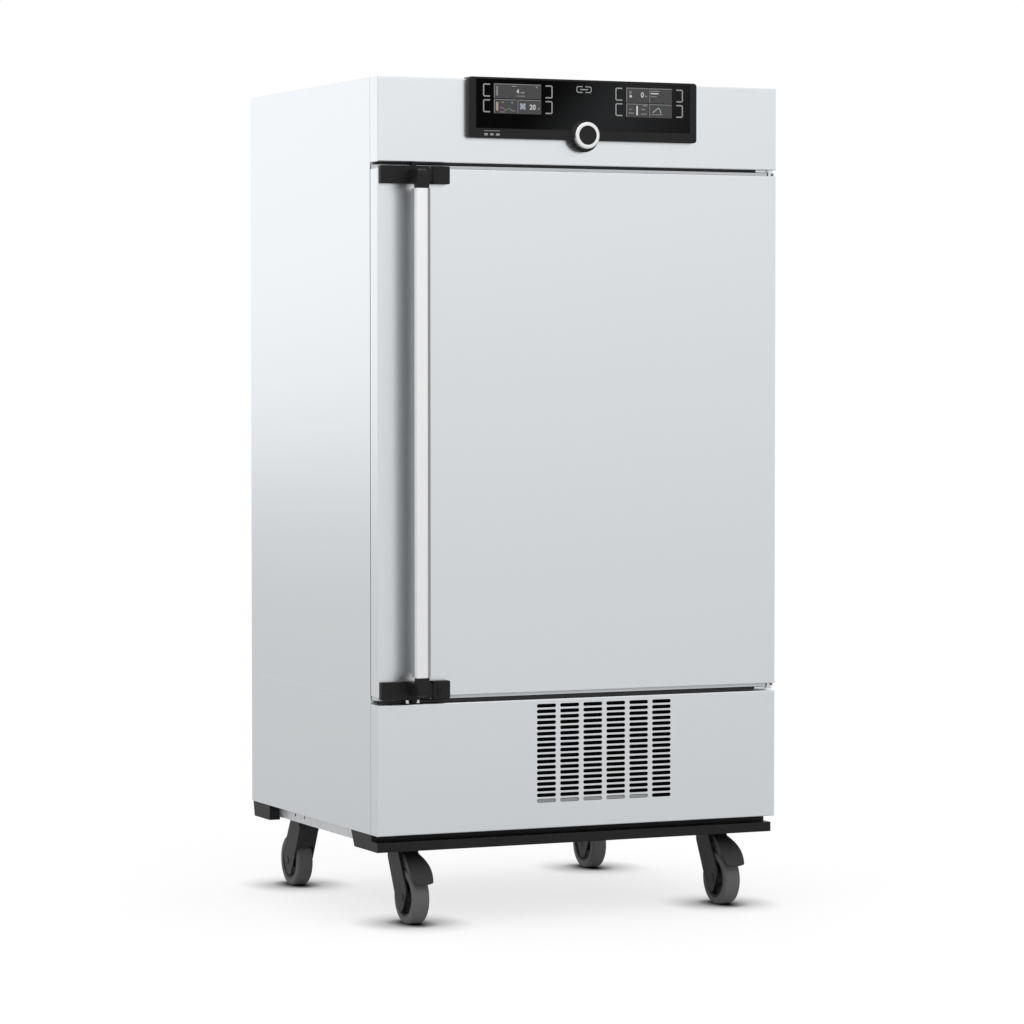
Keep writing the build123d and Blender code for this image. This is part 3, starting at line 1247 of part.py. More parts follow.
def pedal(x, y, trail):
    """Brake pedal: a hollow beak over the front of the wheel, hinged between the cheeks."""
    axle_y = y + trail * CASTOR_TRAIL
    pivot_y = y + trail * PEDAL_PIVOT[0]

    def around(clearance, angle):
        """Point of the side view over the wheel, its angle counted from straight up."""
        radius = WHEEL_R + clearance
        return (axle_y + trail * radius * sin(radians(angle)), WHEEL_R + radius * cos(radians(angle)))

    with BuildPart() as visor:
        add(visor_block(x, y, trail, 0))
        add(visor_block(x, y, trail, VISOR_WALL), mode=Mode.SUBTRACT)
        with BuildSketch(at_x(x - VISOR_W)):
            with BuildLine():
                ThreePointArc(around(VISOR_FREE, -12), around(VISOR_FREE * 4 / 3, 25),
                              around(VISOR_FREE * 2, 45))
                Polyline(around(VISOR_FREE * 2, 45), (y + trail * (VISOR_TIP + 5), 78),
                         (y + trail * (VISOR_TIP + 5), WHEEL_R - 10),
                         (around(VISOR_FREE, -12)[0], WHEEL_R - 10), around(VISOR_FREE, -12))
            make_face()
        extrude(amount=2 * VISOR_W, mode=Mode.SUBTRACT)
        with BuildSketch(at_x(x - CHEEK_IN + 1)):
            with Locations((pivot_y, PEDAL_PIVOT[1])):
                Circle(PEDAL_KNUCKLE)
            reach = y + trail * (VISOR_REAR + VISOR_WALL - 0.5)
            with BuildLine():
                Polyline((pivot_y, PEDAL_PIVOT[1] + PEDAL_KNUCKLE), (reach, PEDAL_PIVOT[1] + 8),
                         (reach, PEDAL_PIVOT[1] - 5), (pivot_y, PEDAL_PIVOT[1] - PEDAL_KNUCKLE),
                         close=True)
            make_face()
        extrude(amount=2 * CHEEK_IN - 2)
        with BuildSketch(at_x(x - VISOR_W)):
            with Locations((pivot_y, PEDAL_PIVOT[1])):
                Circle(PEDAL_PIN_R + RUNNING)
        extrude(amount=2 * VISOR_W, mode=Mode.SUBTRACT)
    return visor.part


def pedal_pin(x, y, trail):
    with BuildPart() as pin:
        with BuildSketch(at_x(x - CHEEK_IN)):
            with Locations((y + trail * PEDAL_PIVOT[0], PEDAL_PIVOT[1])):
                Circle(PEDAL_PIN_R)
        extrude(amount=2 * CHEEK_IN)
    return pin.part


for name, x, y, trail in castor_places():
    braked = trail < 0
    fixed = [fork(x, y, trail, braked), axle(x, y, trail)]
    if braked:
        fixed.append(pedal_pin(x, y, trail))
    keep_group(fixed, f"castor_fork_{name}")
    keep(tyre(x, y, trail), f"castor_tyre_{name}")
    keep(wheel_core(x, y, trail), f"castor_wheel_{name}")
    if braked:
        keep(pedal(x, y, trail), f"brake_pedal_{name}")
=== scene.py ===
"""Looks of the cooled incubator: a finish for every CAD node, and the small pieces on them.

Metres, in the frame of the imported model: +Z up, the front faces -Y, the origin on the floor.
"""
from math import cos, pi, radians, sin

import bpy
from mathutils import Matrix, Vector


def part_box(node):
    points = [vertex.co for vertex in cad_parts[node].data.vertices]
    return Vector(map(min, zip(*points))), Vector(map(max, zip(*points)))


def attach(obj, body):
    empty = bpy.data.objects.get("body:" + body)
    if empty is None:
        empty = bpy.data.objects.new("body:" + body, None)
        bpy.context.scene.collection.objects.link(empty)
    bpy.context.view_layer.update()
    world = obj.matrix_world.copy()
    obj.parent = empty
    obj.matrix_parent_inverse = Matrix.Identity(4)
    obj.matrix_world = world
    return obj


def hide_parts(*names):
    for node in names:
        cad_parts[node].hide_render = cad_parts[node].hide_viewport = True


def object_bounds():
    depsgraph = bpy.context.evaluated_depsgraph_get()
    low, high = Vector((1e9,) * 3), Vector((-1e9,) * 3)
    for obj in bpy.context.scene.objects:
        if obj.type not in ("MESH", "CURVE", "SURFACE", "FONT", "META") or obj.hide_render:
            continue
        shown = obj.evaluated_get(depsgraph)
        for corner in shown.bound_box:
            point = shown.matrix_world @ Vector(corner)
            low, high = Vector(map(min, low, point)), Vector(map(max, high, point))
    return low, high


MM = 0.001

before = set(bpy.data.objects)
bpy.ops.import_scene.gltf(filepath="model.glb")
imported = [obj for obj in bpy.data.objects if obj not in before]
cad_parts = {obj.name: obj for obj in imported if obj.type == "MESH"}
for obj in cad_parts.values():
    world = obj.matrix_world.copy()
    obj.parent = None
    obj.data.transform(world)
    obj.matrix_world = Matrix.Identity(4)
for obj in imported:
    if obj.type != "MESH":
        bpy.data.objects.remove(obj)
cad_low, cad_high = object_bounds()


# Camera: level with the upper part of the door, a little to the left of the object

CAMERA_PLACE = Vector((-3.1142, -6.8847, 1.0441))
CAMERA_TURN = radians(24.349)         # to the right of straight ahead
CAMERA_DOWN = radians(2.219)
CAMERA_LENS = 136.3
SENSOR = 36.0


def make_camera():
    camera = bpy.data.objects.new("camera", bpy.data.cameras.new("camera"))
    bpy.context.scene.collection.objects.link(camera)
    camera.location = CAMERA_PLACE
    camera.rotation_euler = (pi / 2 - CAMERA_DOWN, 0, -CAMERA_TURN)
    camera.data.lens = CAMERA_LENS
    camera.data.sensor_width = SENSOR
    camera.data.clip_end = 60
    bpy.context.scene.camera = camera


# Small helpers for node trees


def new_group(name, inputs, outputs):
    """An empty shader group with (socket type, name, value) inputs and (socket type, name) outputs."""
    group = bpy.data.node_groups.new(name, "ShaderNodeTree")
    for kind, label, value in inputs:
        socket = group.interface.new_socket(label, in_out="INPUT", socket_type=kind)
        socket.default_value = value
    for kind, label in outputs:
        group.interface.new_socket(label, in_out="OUTPUT", socket_type=kind)
    return group


def add_node(tree, kind, settings=None, **inputs):
    """A node with its settings and the values of its input sockets, whose spaces are written as _."""
    node = tree.nodes.new(kind)
    for key, value in (settings or {}).items():
        setattr(node, key, value)
    for label, value in inputs.items():
        node.inputs[label.replace("_", " ")].default_value = value
    return node


def make_surface_texture():
    """Noise stretched by its own scale in each direction: brushing, moulded grain, embossing."""
    group = new_group(
        "surface texture",
        [("NodeSocketVector", "Scale", (100, 100, 100)), ("NodeSocketFloat", "Detail", 2.0),
         ("NodeSocketFloat", "Sharpness", 0.3)],
        [("NodeSocketFloat", "Height"), ("NodeSocketFloat", "Mask")])
    enter = group.nodes.new("NodeGroupInput")
    leave = group.nodes.new("NodeGroupOutput")
    place = add_node(group, "ShaderNodeTexCoord")
    stretch = add_node(group, "ShaderNodeVectorMath", {"operation": "MULTIPLY"})
    noise = add_node(group, "ShaderNodeTexNoise", Scale=1.0, Roughness=0.55)
    span = add_node(group, "ShaderNodeMapRange", {"interpolation_type": "SMOOTHSTEP"})
    low = add_node(group, "ShaderNodeMath", {"operation": "MULTIPLY_ADD"})
    high = add_node(group, "ShaderNodeMath", {"operation": "MULTIPLY_ADD"})
    low.inputs[1].default_value = 0.5
    low.inputs[2].default_value = 0.25
    high.inputs[1].default_value = -0.5
    high.inputs[2].default_value = 0.75
    link = group.links.new
    link(place.outputs["Object"], stretch.inputs[0])
    link(enter.outputs["Scale"], stretch.inputs[1])
    link(stretch.outputs["Vector"], noise.inputs["Vector"])
    link(enter.outputs["Detail"], noise.inputs["Detail"])
    link(enter.outputs["Sharpness"], low.inputs[0])
    link(enter.outputs["Sharpness"], high.inputs[0])
    link(noise.outputs["Fac"], span.inputs["Value"])
    link(low.outputs[0], span.inputs["From Min"])
    link(high.outputs[0], span.inputs["From Max"])
    link(noise.outputs["Fac"], leave.inputs["Height"])
    link(span.outputs["Result"], leave.inputs["Mask"])
    return group


def make_cells():
    """Random flat cells: zinc flowers and open foam."""
    group = new_group(
        "cells", [("NodeSocketFloat", "Scale", 60.0)],
        [("NodeSocketFloat", "Height"), ("NodeSocketFloat", "Shade")])
    enter = group.nodes.new("NodeGroupInput")
    leave = group.nodes.new("NodeGroupOutput")
    place = add_node(group, "ShaderNodeTexCoord")
    cell = add_node(group, "ShaderNodeTexVoronoi")
    split = add_node(group, "ShaderNodeSeparateColor")
    link = group.links.new
    link(place.outputs["Object"], cell.inputs["Vector"])
    link(enter.outputs["Scale"], cell.inputs["Scale"])
    link(cell.outputs["Color"], split.inputs["Color"])
    link(cell.outputs["Distance"], leave.inputs["Height"])
    link(split.outputs["Red"], leave.inputs["Shade"])
    return group


def make_edge_light():
    """Mask of outer edges, where handling polishes a surface."""
    group = new_group(
        "worn edges", [("NodeSocketFloat", "Width", 0.8 * MM), ("NodeSocketFloat", "Amount", 0.5)],
        [("NodeSocketFloat", "Mask"), ("NodeSocketVector", "Normal")])
    enter = group.nodes.new("NodeGroupInput")
    leave = group.nodes.new("NodeGroupOutput")
    rounded = add_node(group, "ShaderNodeBevel", {"samples": 4})
    flat = add_node(group, "ShaderNodeNewGeometry")
    likeness = add_node(group, "ShaderNodeVectorMath", {"operation": "DOT_PRODUCT"})
    turned = add_node(group, "ShaderNodeMapRange", {"interpolation_type": "SMOOTHSTEP"},
                      From_Min=0.995, From_Max=0.8, To_Min=0.0, To_Max=1.0)
    share = add_node(group, "ShaderNodeMath", {"operation": "MULTIPLY"})
    link = group.links.new
    link(enter.outputs["Width"], rounded.inputs["Radius"])
    link(rounded.outputs["Normal"], likeness.inputs[0])
    link(flat.outputs["Normal"], likeness.inputs[1])
    link(likeness.outputs["Value"], turned.inputs["Value"])
    link(turned.outputs["Result"], share.inputs[0])
    link(enter.outputs["Amount"], share.inputs[1])
    link(share.outputs[0], leave.inputs["Mask"])
    link(rounded.outputs["Normal"], leave.inputs["Normal"])
    return group


SURFACE = make_surface_texture()
CELLS = make_cells()
EDGES = make_edge_light()


def new_finish(name, colour, roughness, metallic=0.0, **sockets):
    """A Principled material. What is the same all over sits on the shader's own sockets."""
    material = bpy.data.materials.new(name)
    material.use_nodes = True
    shader = material.node_tree.nodes["Principled BSDF"]
    shader.inputs["Base Color"].default_value = (*colour, 1)
    shader.inputs["Roughness"].default_value = roughness
    shader.inputs["Metallic"].default_value = metallic
    for label, value in sockets.items():
        shader.inputs[label.replace("_", " ")].default_value = value
    return material, material.node_tree, shader


def place_group(tree, group, **inputs):
    node = tree.nodes.new("ShaderNodeGroup")
    node.node_tree = group
    for label, value in inputs.items():
        node.inputs[label.replace("_", " ")].default_value = value
    return node


def shade_between(tree, shader, mask, first, second):
    """Base colour that goes from the first colour to the second by a mask."""
    mix = add_node(tree, "ShaderNodeMix", {"data_type": "RGBA"})
    mix.inputs[6].default_value = (*first, 1)
    mix.inputs[7].default_value = (*second, 1)
    tree.links.new(mask, mix.inputs[0])
    tree.links.new(mix.outputs[2], shader.inputs["Base Color"])
    return mix


def roughen_between(tree, shader, mask, low, high):
    span = add_node(tree, "ShaderNodeMapRange", To_Min=low, To_Max=high)
    tree.links.new(mask, span.inputs["Value"])
    tree.links.new(span.outputs["Result"], shader.inputs["Roughness"])


def raise_by(tree, shader, height, strength, distance, normal=None):
    """Relief of the surface by a height, on top of an optional normal."""
    bump = add_node(tree, "ShaderNodeBump", Strength=strength, Distance=distance)
    tree.links.new(height, bump.inputs["Height"])
    if normal is not None:
        tree.links.new(normal, bump.inputs["Normal"])
    tree.links.new(bump.outputs["Normal"], shader.inputs["Normal"])


def darker(colour, share):
    return tuple(channel * share for channel in colour)


def textured_finish(name, colour, roughness, metallic, scale, strength, distance, spread=0.12,
                    shade=0.93, edge=0.0, **sockets):
    """A finish with one surface texture that drives its shade, roughness and relief."""
    material, tree, shader = new_finish(name, colour, roughness, metallic, **sockets)
    texture = place_group(tree, SURFACE, Scale=scale)
    shade_between(tree, shader, texture.outputs["Mask"], darker(colour, shade), colour)
    roughen_between(tree, shader, texture.outputs["Height"], roughness - spread, roughness + spread)
    normal = None
    if edge:
        worn = place_group(tree, EDGES, Width=edge)
        normal = worn.outputs["Normal"]
    raise_by(tree, shader, texture.outputs["Height"], strength, distance, normal)
    return material


# Finishes, one for each slot of the record

STEEL = (0.78, 0.805, 0.825)
ZINC = (0.74, 0.75, 0.77)
BLACK = (0.014, 0.014, 0.015)
CASTOR_GREY = (0.04, 0.04, 0.042)


def make_zinc():
    material, tree, shader = new_finish("galvanised steel", ZINC, 0.42, 1.0)
    flowers = place_group(tree, CELLS, Scale=90.0)
    shade_between(tree, shader, flowers.outputs["Shade"], darker(ZINC, 0.86), ZINC)
    roughen_between(tree, shader, flowers.outputs["Shade"], 0.34, 0.5)
    return material


def make_filter():
    material, tree, shader = new_finish("filter foam", (0.002, 0.002, 0.002), 0.9,
                                        Specular_IOR_Level=0.05)
    pores = place_group(tree, CELLS, Scale=420.0)
    raise_by(tree, shader, pores.outputs["Height"], 0.9, 1.5 * MM)
    return material


def make_foam():
    colour = (0.83, 0.76, 0.55)
    material, tree, shader = new_finish("rigid foam", colour, 0.85)
    texture = place_group(tree, SURFACE, Scale=(140, 140, 140), Detail=4.0)
    shade_between(tree, shader, texture.outputs["Mask"], darker(colour, 0.85), colour)
    raise_by(tree, shader, texture.outputs["Height"], 0.5, 1 * MM)
    return material


def make_ring_metal():
    """Turned aluminium: fine rings around the axis of the turn ring."""
    low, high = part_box("turn_ring")
    colour = (0.88, 0.88, 0.89)
    material, tree, shader = new_finish("turned aluminium", colour, 0.24, 1.0)
    place = add_node(tree, "ShaderNodeTexCoord")
    centre = add_node(tree, "ShaderNodeMapping")
    centre.inputs["Location"].default_value = -(low + high) / 2
    rings = add_node(tree, "ShaderNodeTexWave",
                     {"wave_type": "RINGS", "rings_direction": "Y"}, Scale=420.0, Distortion=0.3)
    tree.links.new(place.outputs["Object"], centre.inputs["Vector"])
    tree.links.new(centre.outputs["Vector"], rings.inputs["Vector"])
    shade_between(tree, shader, rings.outputs["Fac"], darker(colour, 0.9), colour)
    roughen_between(tree, shader, rings.outputs["Fac"], 0.2, 0.32)
    raise_by(tree, shader, rings.outputs["Fac"], 0.25, 0.05 * MM)
    return material


def make_door_glass():
    material, tree, shader = new_finish("door glass", (0.95, 0.985, 0.97), 0.02,
                                        Transmission_Weight=1.0, IOR=1.5)
    smear = place_group(tree, SURFACE, Scale=(5, 5, 3))
    roughen_between(tree, shader, smear.outputs["Mask"], 0.01, 0.05)
    return material


def make_panel_glass():
    """Black glass with a painted reflection: its base colour lightens along a diagonal, black on the left,
    dark grey past the middle and a little darker on the right.
    """
    low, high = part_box("control_glass")
    material, tree, shader = new_finish("black panel glass", (0.01, 0.01, 0.01), 0.09,
                                        Specular_IOR_Level=0.03)
    place = add_node(tree, "ShaderNodeTexCoord")
    split = add_node(tree, "ShaderNodeSeparateXYZ")
    slope = add_node(tree, "ShaderNodeMath", {"operation": "MULTIPLY_ADD"})
    slope.inputs[1].default_value = -0.9
    across = add_node(tree, "ShaderNodeMapRange", From_Min=low.x - 0.9 * high.z,
                      From_Max=high.x - 0.9 * low.z)
    # painted reflection: a ramp over the diagonal stands in for the light the glass mirrors
    painted_reflection_ramp = tree.nodes.new("ShaderNodeValToRGB")
    ramp = painted_reflection_ramp.color_ramp
    ramp.interpolation = "EASE"
    ramp.elements[0].position = 0.3
    ramp.elements[0].color = (0.0008, 0.0008, 0.001, 1)
    ramp.elements[1].position = 0.62
    ramp.elements[1].color = (0.022, 0.023, 0.024, 1)
    ramp.elements.new(1.0).color = (0.01, 0.01, 0.011, 1)
    link = tree.links.new
    link(place.outputs["Object"], split.inputs[0])
    link(split.outputs["Z"], slope.inputs[0])
    link(split.outputs["X"], slope.inputs[2])
    link(slope.outputs[0], across.inputs["Value"])
    link(across.outputs["Result"], painted_reflection_ramp.inputs["Fac"])
    link(painted_reflection_ramp.outputs["Color"], shader.inputs["Base Color"])
    smear = place_group(tree, SURFACE, Scale=(9, 9, 9))
    roughen_between(tree, shader, smear.outputs["Mask"], 0.06, 0.14)
    return material


def make_print(name, colour):
    """Print and lit marks on the panel, with the fine raster of a screen."""
    return textured_finish(name, colour, 0.5, 0.0, (900, 900, 900), 0.0, 0.01 * MM, 0.04, 0.9,
                           Specular_IOR_Level=0.1)


def make_finishes():
    """Material by slot name of the record."""
    grain = (900, 900, 900)
    return {
        "textured_steel": textured_finish(
            "textured steel", STEEL, 0.3, 1.0, (260, 260, 900), 0.05, 0.2 * MM, 0.04, 0.985),
        "galvanised_steel": make_zinc(),
        "stainless_steel": textured_finish(
            "brushed stainless", (0.76, 0.77, 0.78), 0.3, 1.0, (12, 900, 900), 0.08, 0.1 * MM, 0.1),
        "stainless_wire": textured_finish(
            "polished wire", (0.82, 0.82, 0.83), 0.18, 1.0, (300, 300, 300), 0.05, 0.1 * MM, 0.06),
        "door_profile": textured_finish(
            "grey profile", (0.68, 0.7, 0.72), 0.5, 0.0, grain, 0.15, 0.1 * MM),
        "foam": make_foam(),
        "seal_rubber": textured_finish(
            "silicone seal", (0.02, 0.02, 0.021), 0.62, 0.0, (400, 400, 400), 0.2, 0.2 * MM),
        "black_plastic": textured_finish(
            "black plastic", BLACK, 0.42, 0.0, (1400, 1400, 1400), 0.2, 0.12 * MM, 0.08, 0.8,
            edge=0.8 * MM, Specular_IOR_Level=0.2),
        "filter_black": make_filter(),
        "bar_metal": textured_finish(
            "satin aluminium", (0.93, 0.93, 0.94), 0.32, 1.0, (2400, 2400, 6), 0.05, 0.05 * MM, 0.06,
            0.96),
        "ring_metal": make_ring_metal(),
        "panel_glass": make_panel_glass(),
        "display": textured_finish(
            "display", (0.02, 0.021, 0.022), 0.2, 0.0, (60, 60, 60), 0.0, 0.1 * MM, 0.05),
        "door_glass": make_door_glass(),
        "electronics": textured_finish(
            "circuit board", (0.03, 0.16, 0.06), 0.4, 0.0, (500, 500, 500), 0.2, 0.1 * MM),
        "machine_black": textured_finish(
            "black enamel", (0.015, 0.015, 0.015), 0.25, 0.0, (60, 60, 60), 0.1, 0.3 * MM),
        "fins": textured_finish(
            "mill aluminium", (0.8, 0.81, 0.82), 0.38, 1.0, (40, 40, 900), 0.1, 0.1 * MM),
        "copper": textured_finish(
            "drawn copper", (0.86, 0.44, 0.28), 0.3, 1.0, (90, 90, 90), 0.1, 0.1 * MM, 0.12, 0.75),
        "fan_black": textured_finish(
            "fan plastic", (0.018, 0.018, 0.018), 0.5, 0.0, grain, 0.2, 0.1 * MM),
        "motor_grey": textured_finish(
            "motor paint", (0.16, 0.165, 0.17), 0.42, 0.0, (500, 500, 500), 0.2, 0.1 * MM),
        "castor_plastic": textured_finish(
            "castor plastic", CASTOR_GREY, 0.45, 0.0, (1100, 1100, 1100), 0.2, 0.12 * MM, 0.08, 0.8,
            edge=0.8 * MM, Specular_IOR_Level=0.2),
        "castor_tread": textured_finish(
            "grey tread", (0.14, 0.14, 0.142), 0.58, 0.0, (700, 700, 700), 0.2, 0.12 * MM, 0.08,
            Specular_IOR_Level=0.2),
        "grip grey": textured_finish(
            "grip grey", (0.33, 0.335, 0.34), 0.5, 0.0, (1100, 1100, 1100), 0.15, 0.12 * MM,
            Specular_IOR_Level=0.3),
        "tray grey": textured_finish(
            "tray grey", (0.36, 0.365, 0.37), 0.5, 0.0, (500, 500, 500), 0.1, 0.1 * MM),
        "screen tile": make_print("screen tile", (0.085, 0.085, 0.085)),
        "tile line": make_print("tile line", (0.27, 0.27, 0.27)),
        "panel print": make_print("panel print", (0.4, 0.4, 0.4)),
        "lit white": make_print("lit white", (0.75, 0.75, 0.75)),
        "lit grey": make_print("lit grey", (0.3, 0.3, 0.31)),
        "lit blue": make_print("lit blue", (0.42, 0.47, 0.55)),
        "lit amber": make_print("lit amber", (0.5, 0.4, 0.3)),
        "lit green": make_print("lit green", (0.45, 0.58, 0.5)),
    }


FINISHES = make_finishes()


def dress_nodes():
    """Give each CAD node the finish of its slot in the record."""
    for name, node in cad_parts.items():
        for holder in node.material_slots:
            slot = holder.material.name.split(".")[0]
            holder.material = FINISHES[slot]


# Pieces: places in millimetres from the left side of the casing and above the floor

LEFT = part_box("top_fascia")[0].x
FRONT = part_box("door_skin")[0].y
PANEL_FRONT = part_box("control_glass")[0].y
PRINT = 0.3 * MM                      # thickness of what is printed or lit on the panel
TILE_LINE = 1.5 * MM
KEY_LINE = 2.8
DISPLAY_Z = (1502.5, 1557.5)
LEFT_DISPLAY = (227.0, 323.0)
RIGHT_DISPLAY = (498.5, 594.2)
KEY_ROWS = ((1532.4, 1557.1), (1503.6, 1528.1))
KEYS = ((204.7, 218.9), (346.5, 332.0), (475.7, 490.4), (617.6, 603.7))


def dress(piece, name, body, *finishes):
    """Name a finished piece, give it its finishes and let it ride on its body."""
    piece.name = name
    piece.data.materials.clear()
    for finish in finishes:
        piece.data.materials.append(FINISHES[finish])
    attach(piece, body)
    return piece


def pick_faces(piece, wanted):
    """Go to edit mode with only the faces selected that the test wants."""
    bpy.ops.object.mode_set(mode="EDIT")
    bpy.ops.mesh.select_mode(type="FACE")
    bpy.ops.mesh.select_all(action="DESELECT")
    bpy.ops.object.mode_set(mode="OBJECT")
    for face in piece.data.polygons:
        face.select = wanted(face)
    bpy.ops.object.mode_set(mode="EDIT")


def box_piece(low, high, bevel=0.0):
    """Plain piece between two corners, in metres, with its edges bevelled."""
    bpy.ops.object.select_all(action="DESELECT")
    bpy.ops.mesh.primitive_cube_add(size=1, location=(low + high) / 2, scale=high - low)
    piece = bpy.context.object
    bpy.ops.object.transform_apply(location=True, rotation=True, scale=True)
    if bevel:
        bpy.ops.object.mode_set(mode="EDIT")
        bpy.ops.mesh.select_all(action="SELECT")
        bpy.ops.mesh.bevel(offset=bevel, segments=2, affect="EDGES")
        bpy.ops.object.mode_set(mode="OBJECT")
    return piece


def slab(left, right, bottom, top, back, thickness, bevel=0.0):
    """Flat piece facing the front, placed in millimetres from the left side and above the floor."""
    low = Vector((LEFT + left * MM, back - thickness, bottom * MM))
    high = Vector((LEFT + right * MM, back, top * MM))
    return box_piece(low, high, bevel)


def join(pieces):
    bpy.ops.object.select_all(action="DESELECT")
    for piece in pieces:
        piece.select_set(True)
    bpy.context.view_layer.objects.active = pieces[0]
    bpy.ops.object.join()
    return bpy.context.object


def disc(x, z, radius, back=None, wide=1.0, turn=0.0):
    """Small round mark with a bevelled rim, wider than high where wide is above 1."""
    bpy.ops.object.select_all(action="DESELECT")
    place = (LEFT + x * MM, (back or PANEL_FRONT) - PRINT / 2 - PRINT, z * MM)
    bpy.ops.mesh.primitive_cylinder_add(vertices=20, radius=radius * MM, depth=PRINT, location=place,
                                        rotation=(pi / 2, turn, 0), scale=(wide, 1, 1))
    piece = bpy.context.object
    bpy.ops.object.transform_apply(location=True, rotation=True, scale=True)
    pick_faces(piece, lambda face: face.normal.y < -0.9)
    bpy.ops.mesh.inset(thickness=radius * MM * 0.15, depth=PRINT * 0.3)
    bpy.ops.object.mode_set(mode="OBJECT")
    return piece


def stroke(points, width):
    """Flat line through (x, z) points: a chain of extruded corners, thickened and pressed flat."""
    corners = [Vector((LEFT + x * MM, PANEL_FRONT - PRINT, z * MM)) for x, z in points]
    bpy.ops.object.select_all(action="DESELECT")
    bpy.ops.mesh.primitive_plane_add(size=MM)
    bpy.ops.object.mode_set(mode="EDIT")
    bpy.ops.mesh.select_mode(type="VERT")
    bpy.ops.mesh.select_all(action="SELECT")
    bpy.ops.mesh.merge(type="CENTER")
    bpy.ops.mesh.select_all(action="SELECT")
    bpy.ops.transform.translate(value=corners[0])
    for here, there in zip(corners, corners[1:]):
        bpy.ops.mesh.extrude_region_move(TRANSFORM_OT_translate={"value": there - here})
    bpy.ops.object.mode_set(mode="OBJECT")
    bpy.ops.object.convert(target="CURVE")
    path = bpy.context.object
    path.data.bevel_depth = width * MM / 2
    path.data.bevel_resolution = 1
    path.data.use_fill_caps = True
    bpy.ops.object.convert(target="MESH")
    piece = bpy.context.object
    bpy.ops.object.mode_set(mode="EDIT")
    bpy.ops.mesh.select_all(action="SELECT")
    bpy.ops.transform.resize(value=(1, 2 * PRINT / (width * MM), 1), center_override=corners[0])
    bpy.ops.mesh.normals_make_consistent(inside=False)
    bpy.ops.object.mode_set(mode="OBJECT")
    return piece


def numeral(figure, left, bottom, height):
    """Plain figure on a screen tile."""
    bpy.ops.object.select_all(action="DESELECT")
    bpy.ops.object.text_add()
    text = bpy.context.object
    text.data.body = figure
    text.data.size = height * MM / 0.7
    text.data.extrude = PRINT / 2
    text.data.offset = 0.25 * MM
    bpy.ops.object.convert(target="MESH")
    piece = bpy.context.object
    piece.rotation_euler = (pi / 2, 0, 0)
    piece.location = (LEFT + left * MM, PANEL_FRONT - PRINT * 1.5, bottom * MM)
    bpy.ops.object.transform_apply(location=True, rotation=True, scale=True)
    return piece


def mark(left, right, bottom, top):
    """Small bar that stands for a line of print on a screen."""
    return slab(left, right, bottom, top, PANEL_FRONT - PRINT, PRINT, PRINT / 4)


def screen_tile(name, left, right, bottom, top):
    """One tile of a screen: dark face, with a lighter line along its left and upper edges."""
    piece = slab(left, right, bottom, top, PANEL_FRONT, PRINT)
    pick_faces(piece, lambda face: face.normal.y < -0.9)
    bpy.ops.mesh.inset(thickness=TILE_LINE)
    bpy.ops.object.mode_set(mode="OBJECT")
    dress(piece, name, "cabinet", "screen tile", "tile line")
    for face in piece.data.polygons:
        at_side = face.center.x < LEFT + left * MM + TILE_LINE
        at_top = face.center.z > top * MM - TILE_LINE
        if face.normal.y < -0.9 and (at_side or at_top):
            face.material_index = 1


def bracket(outer, inner, bottom, top):
    """Key outline like a square bracket with softened corners."""
    way = 1 if inner > outer else -1
    outer += way * KEY_LINE / 2
    bottom += KEY_LINE / 2
    top -= KEY_LINE / 2
    corner = 1.6 * way
    return stroke([(inner, top), (outer + corner, top), (outer, top - 1.6), (outer, bottom + 1.6),
                   (outer + corner, bottom), (inner, bottom)], KEY_LINE)


def fan_mark(x, z, radius):
    """Four blades and a hub."""
    blades = []
    for turn in range(4):
        angle = pi / 4 + turn * pi / 2
        blades.append(disc(x + cos(angle) * radius * 0.58, z + sin(angle) * radius * 0.58, radius * 0.36,
                           wide=1.25, turn=-angle))
    blades.append(disc(x, z, radius * 0.24))
    return join(blades)


def dress_left_screen():
    low, high = DISPLAY_Z
    left, right = LEFT_DISPLAY
    split_z = 1529.7
    split_x = 274.1
    screen_tile("screen_tile_climate", left, right, split_z + 0.8, high)
    screen_tile("screen_tile_chart", left, split_x - 0.5, low, split_z - 0.8)
    screen_tile("screen_tile_fan", split_x + 0.5, right, low, split_z - 0.8)
    dress(numeral("4", 272.6, 1540.3, 7.6), "figure_climate", "cabinet", "lit white")
    dress(numeral("20", 299.0, 1511.2, 9.0), "figure_fan", "cabinet", "lit white")
    small = [mark(280.5, 289.5, 1540.6, 1543.2), mark(263, 272, 1552.2, 1554), mark(312, 315.5, 1551, 1554),
             mark(273, 289.5, 1534.6, 1536.2), mark(316.3, 319.5, 1511.5, 1515), mark(242.5, 247, 1522, 1524),
             mark(262, 265.5, 1521.5, 1524.5), mark(239.5, 249, 1504.6, 1506)]
    dress(join(small), "screen_marks_left", "cabinet", "lit grey")
    column = join([mark(231.4, 234.9, 1538, 1552.8), disc(233.2, 1537.2, 2.3)])
    dress(column, "thermometer_mark", "cabinet", "lit grey")
    dress(mark(231, 235.6, 1507.8, 1523.3), "chart_level_mark", "cabinet", "lit amber")
    chart = [(239.5, 1513.5), (246, 1512.5), (250, 1508.5), (254, 1510.5), (258, 1513), (262, 1509),
             (266, 1507.5), (270.5, 1508.5)]
    dress(stroke(chart, 1.5), "chart_line", "cabinet", "lit grey")
    dress(fan_mark(285.3, 1516.5, 7.2), "fan_mark", "cabinet", "lit blue")


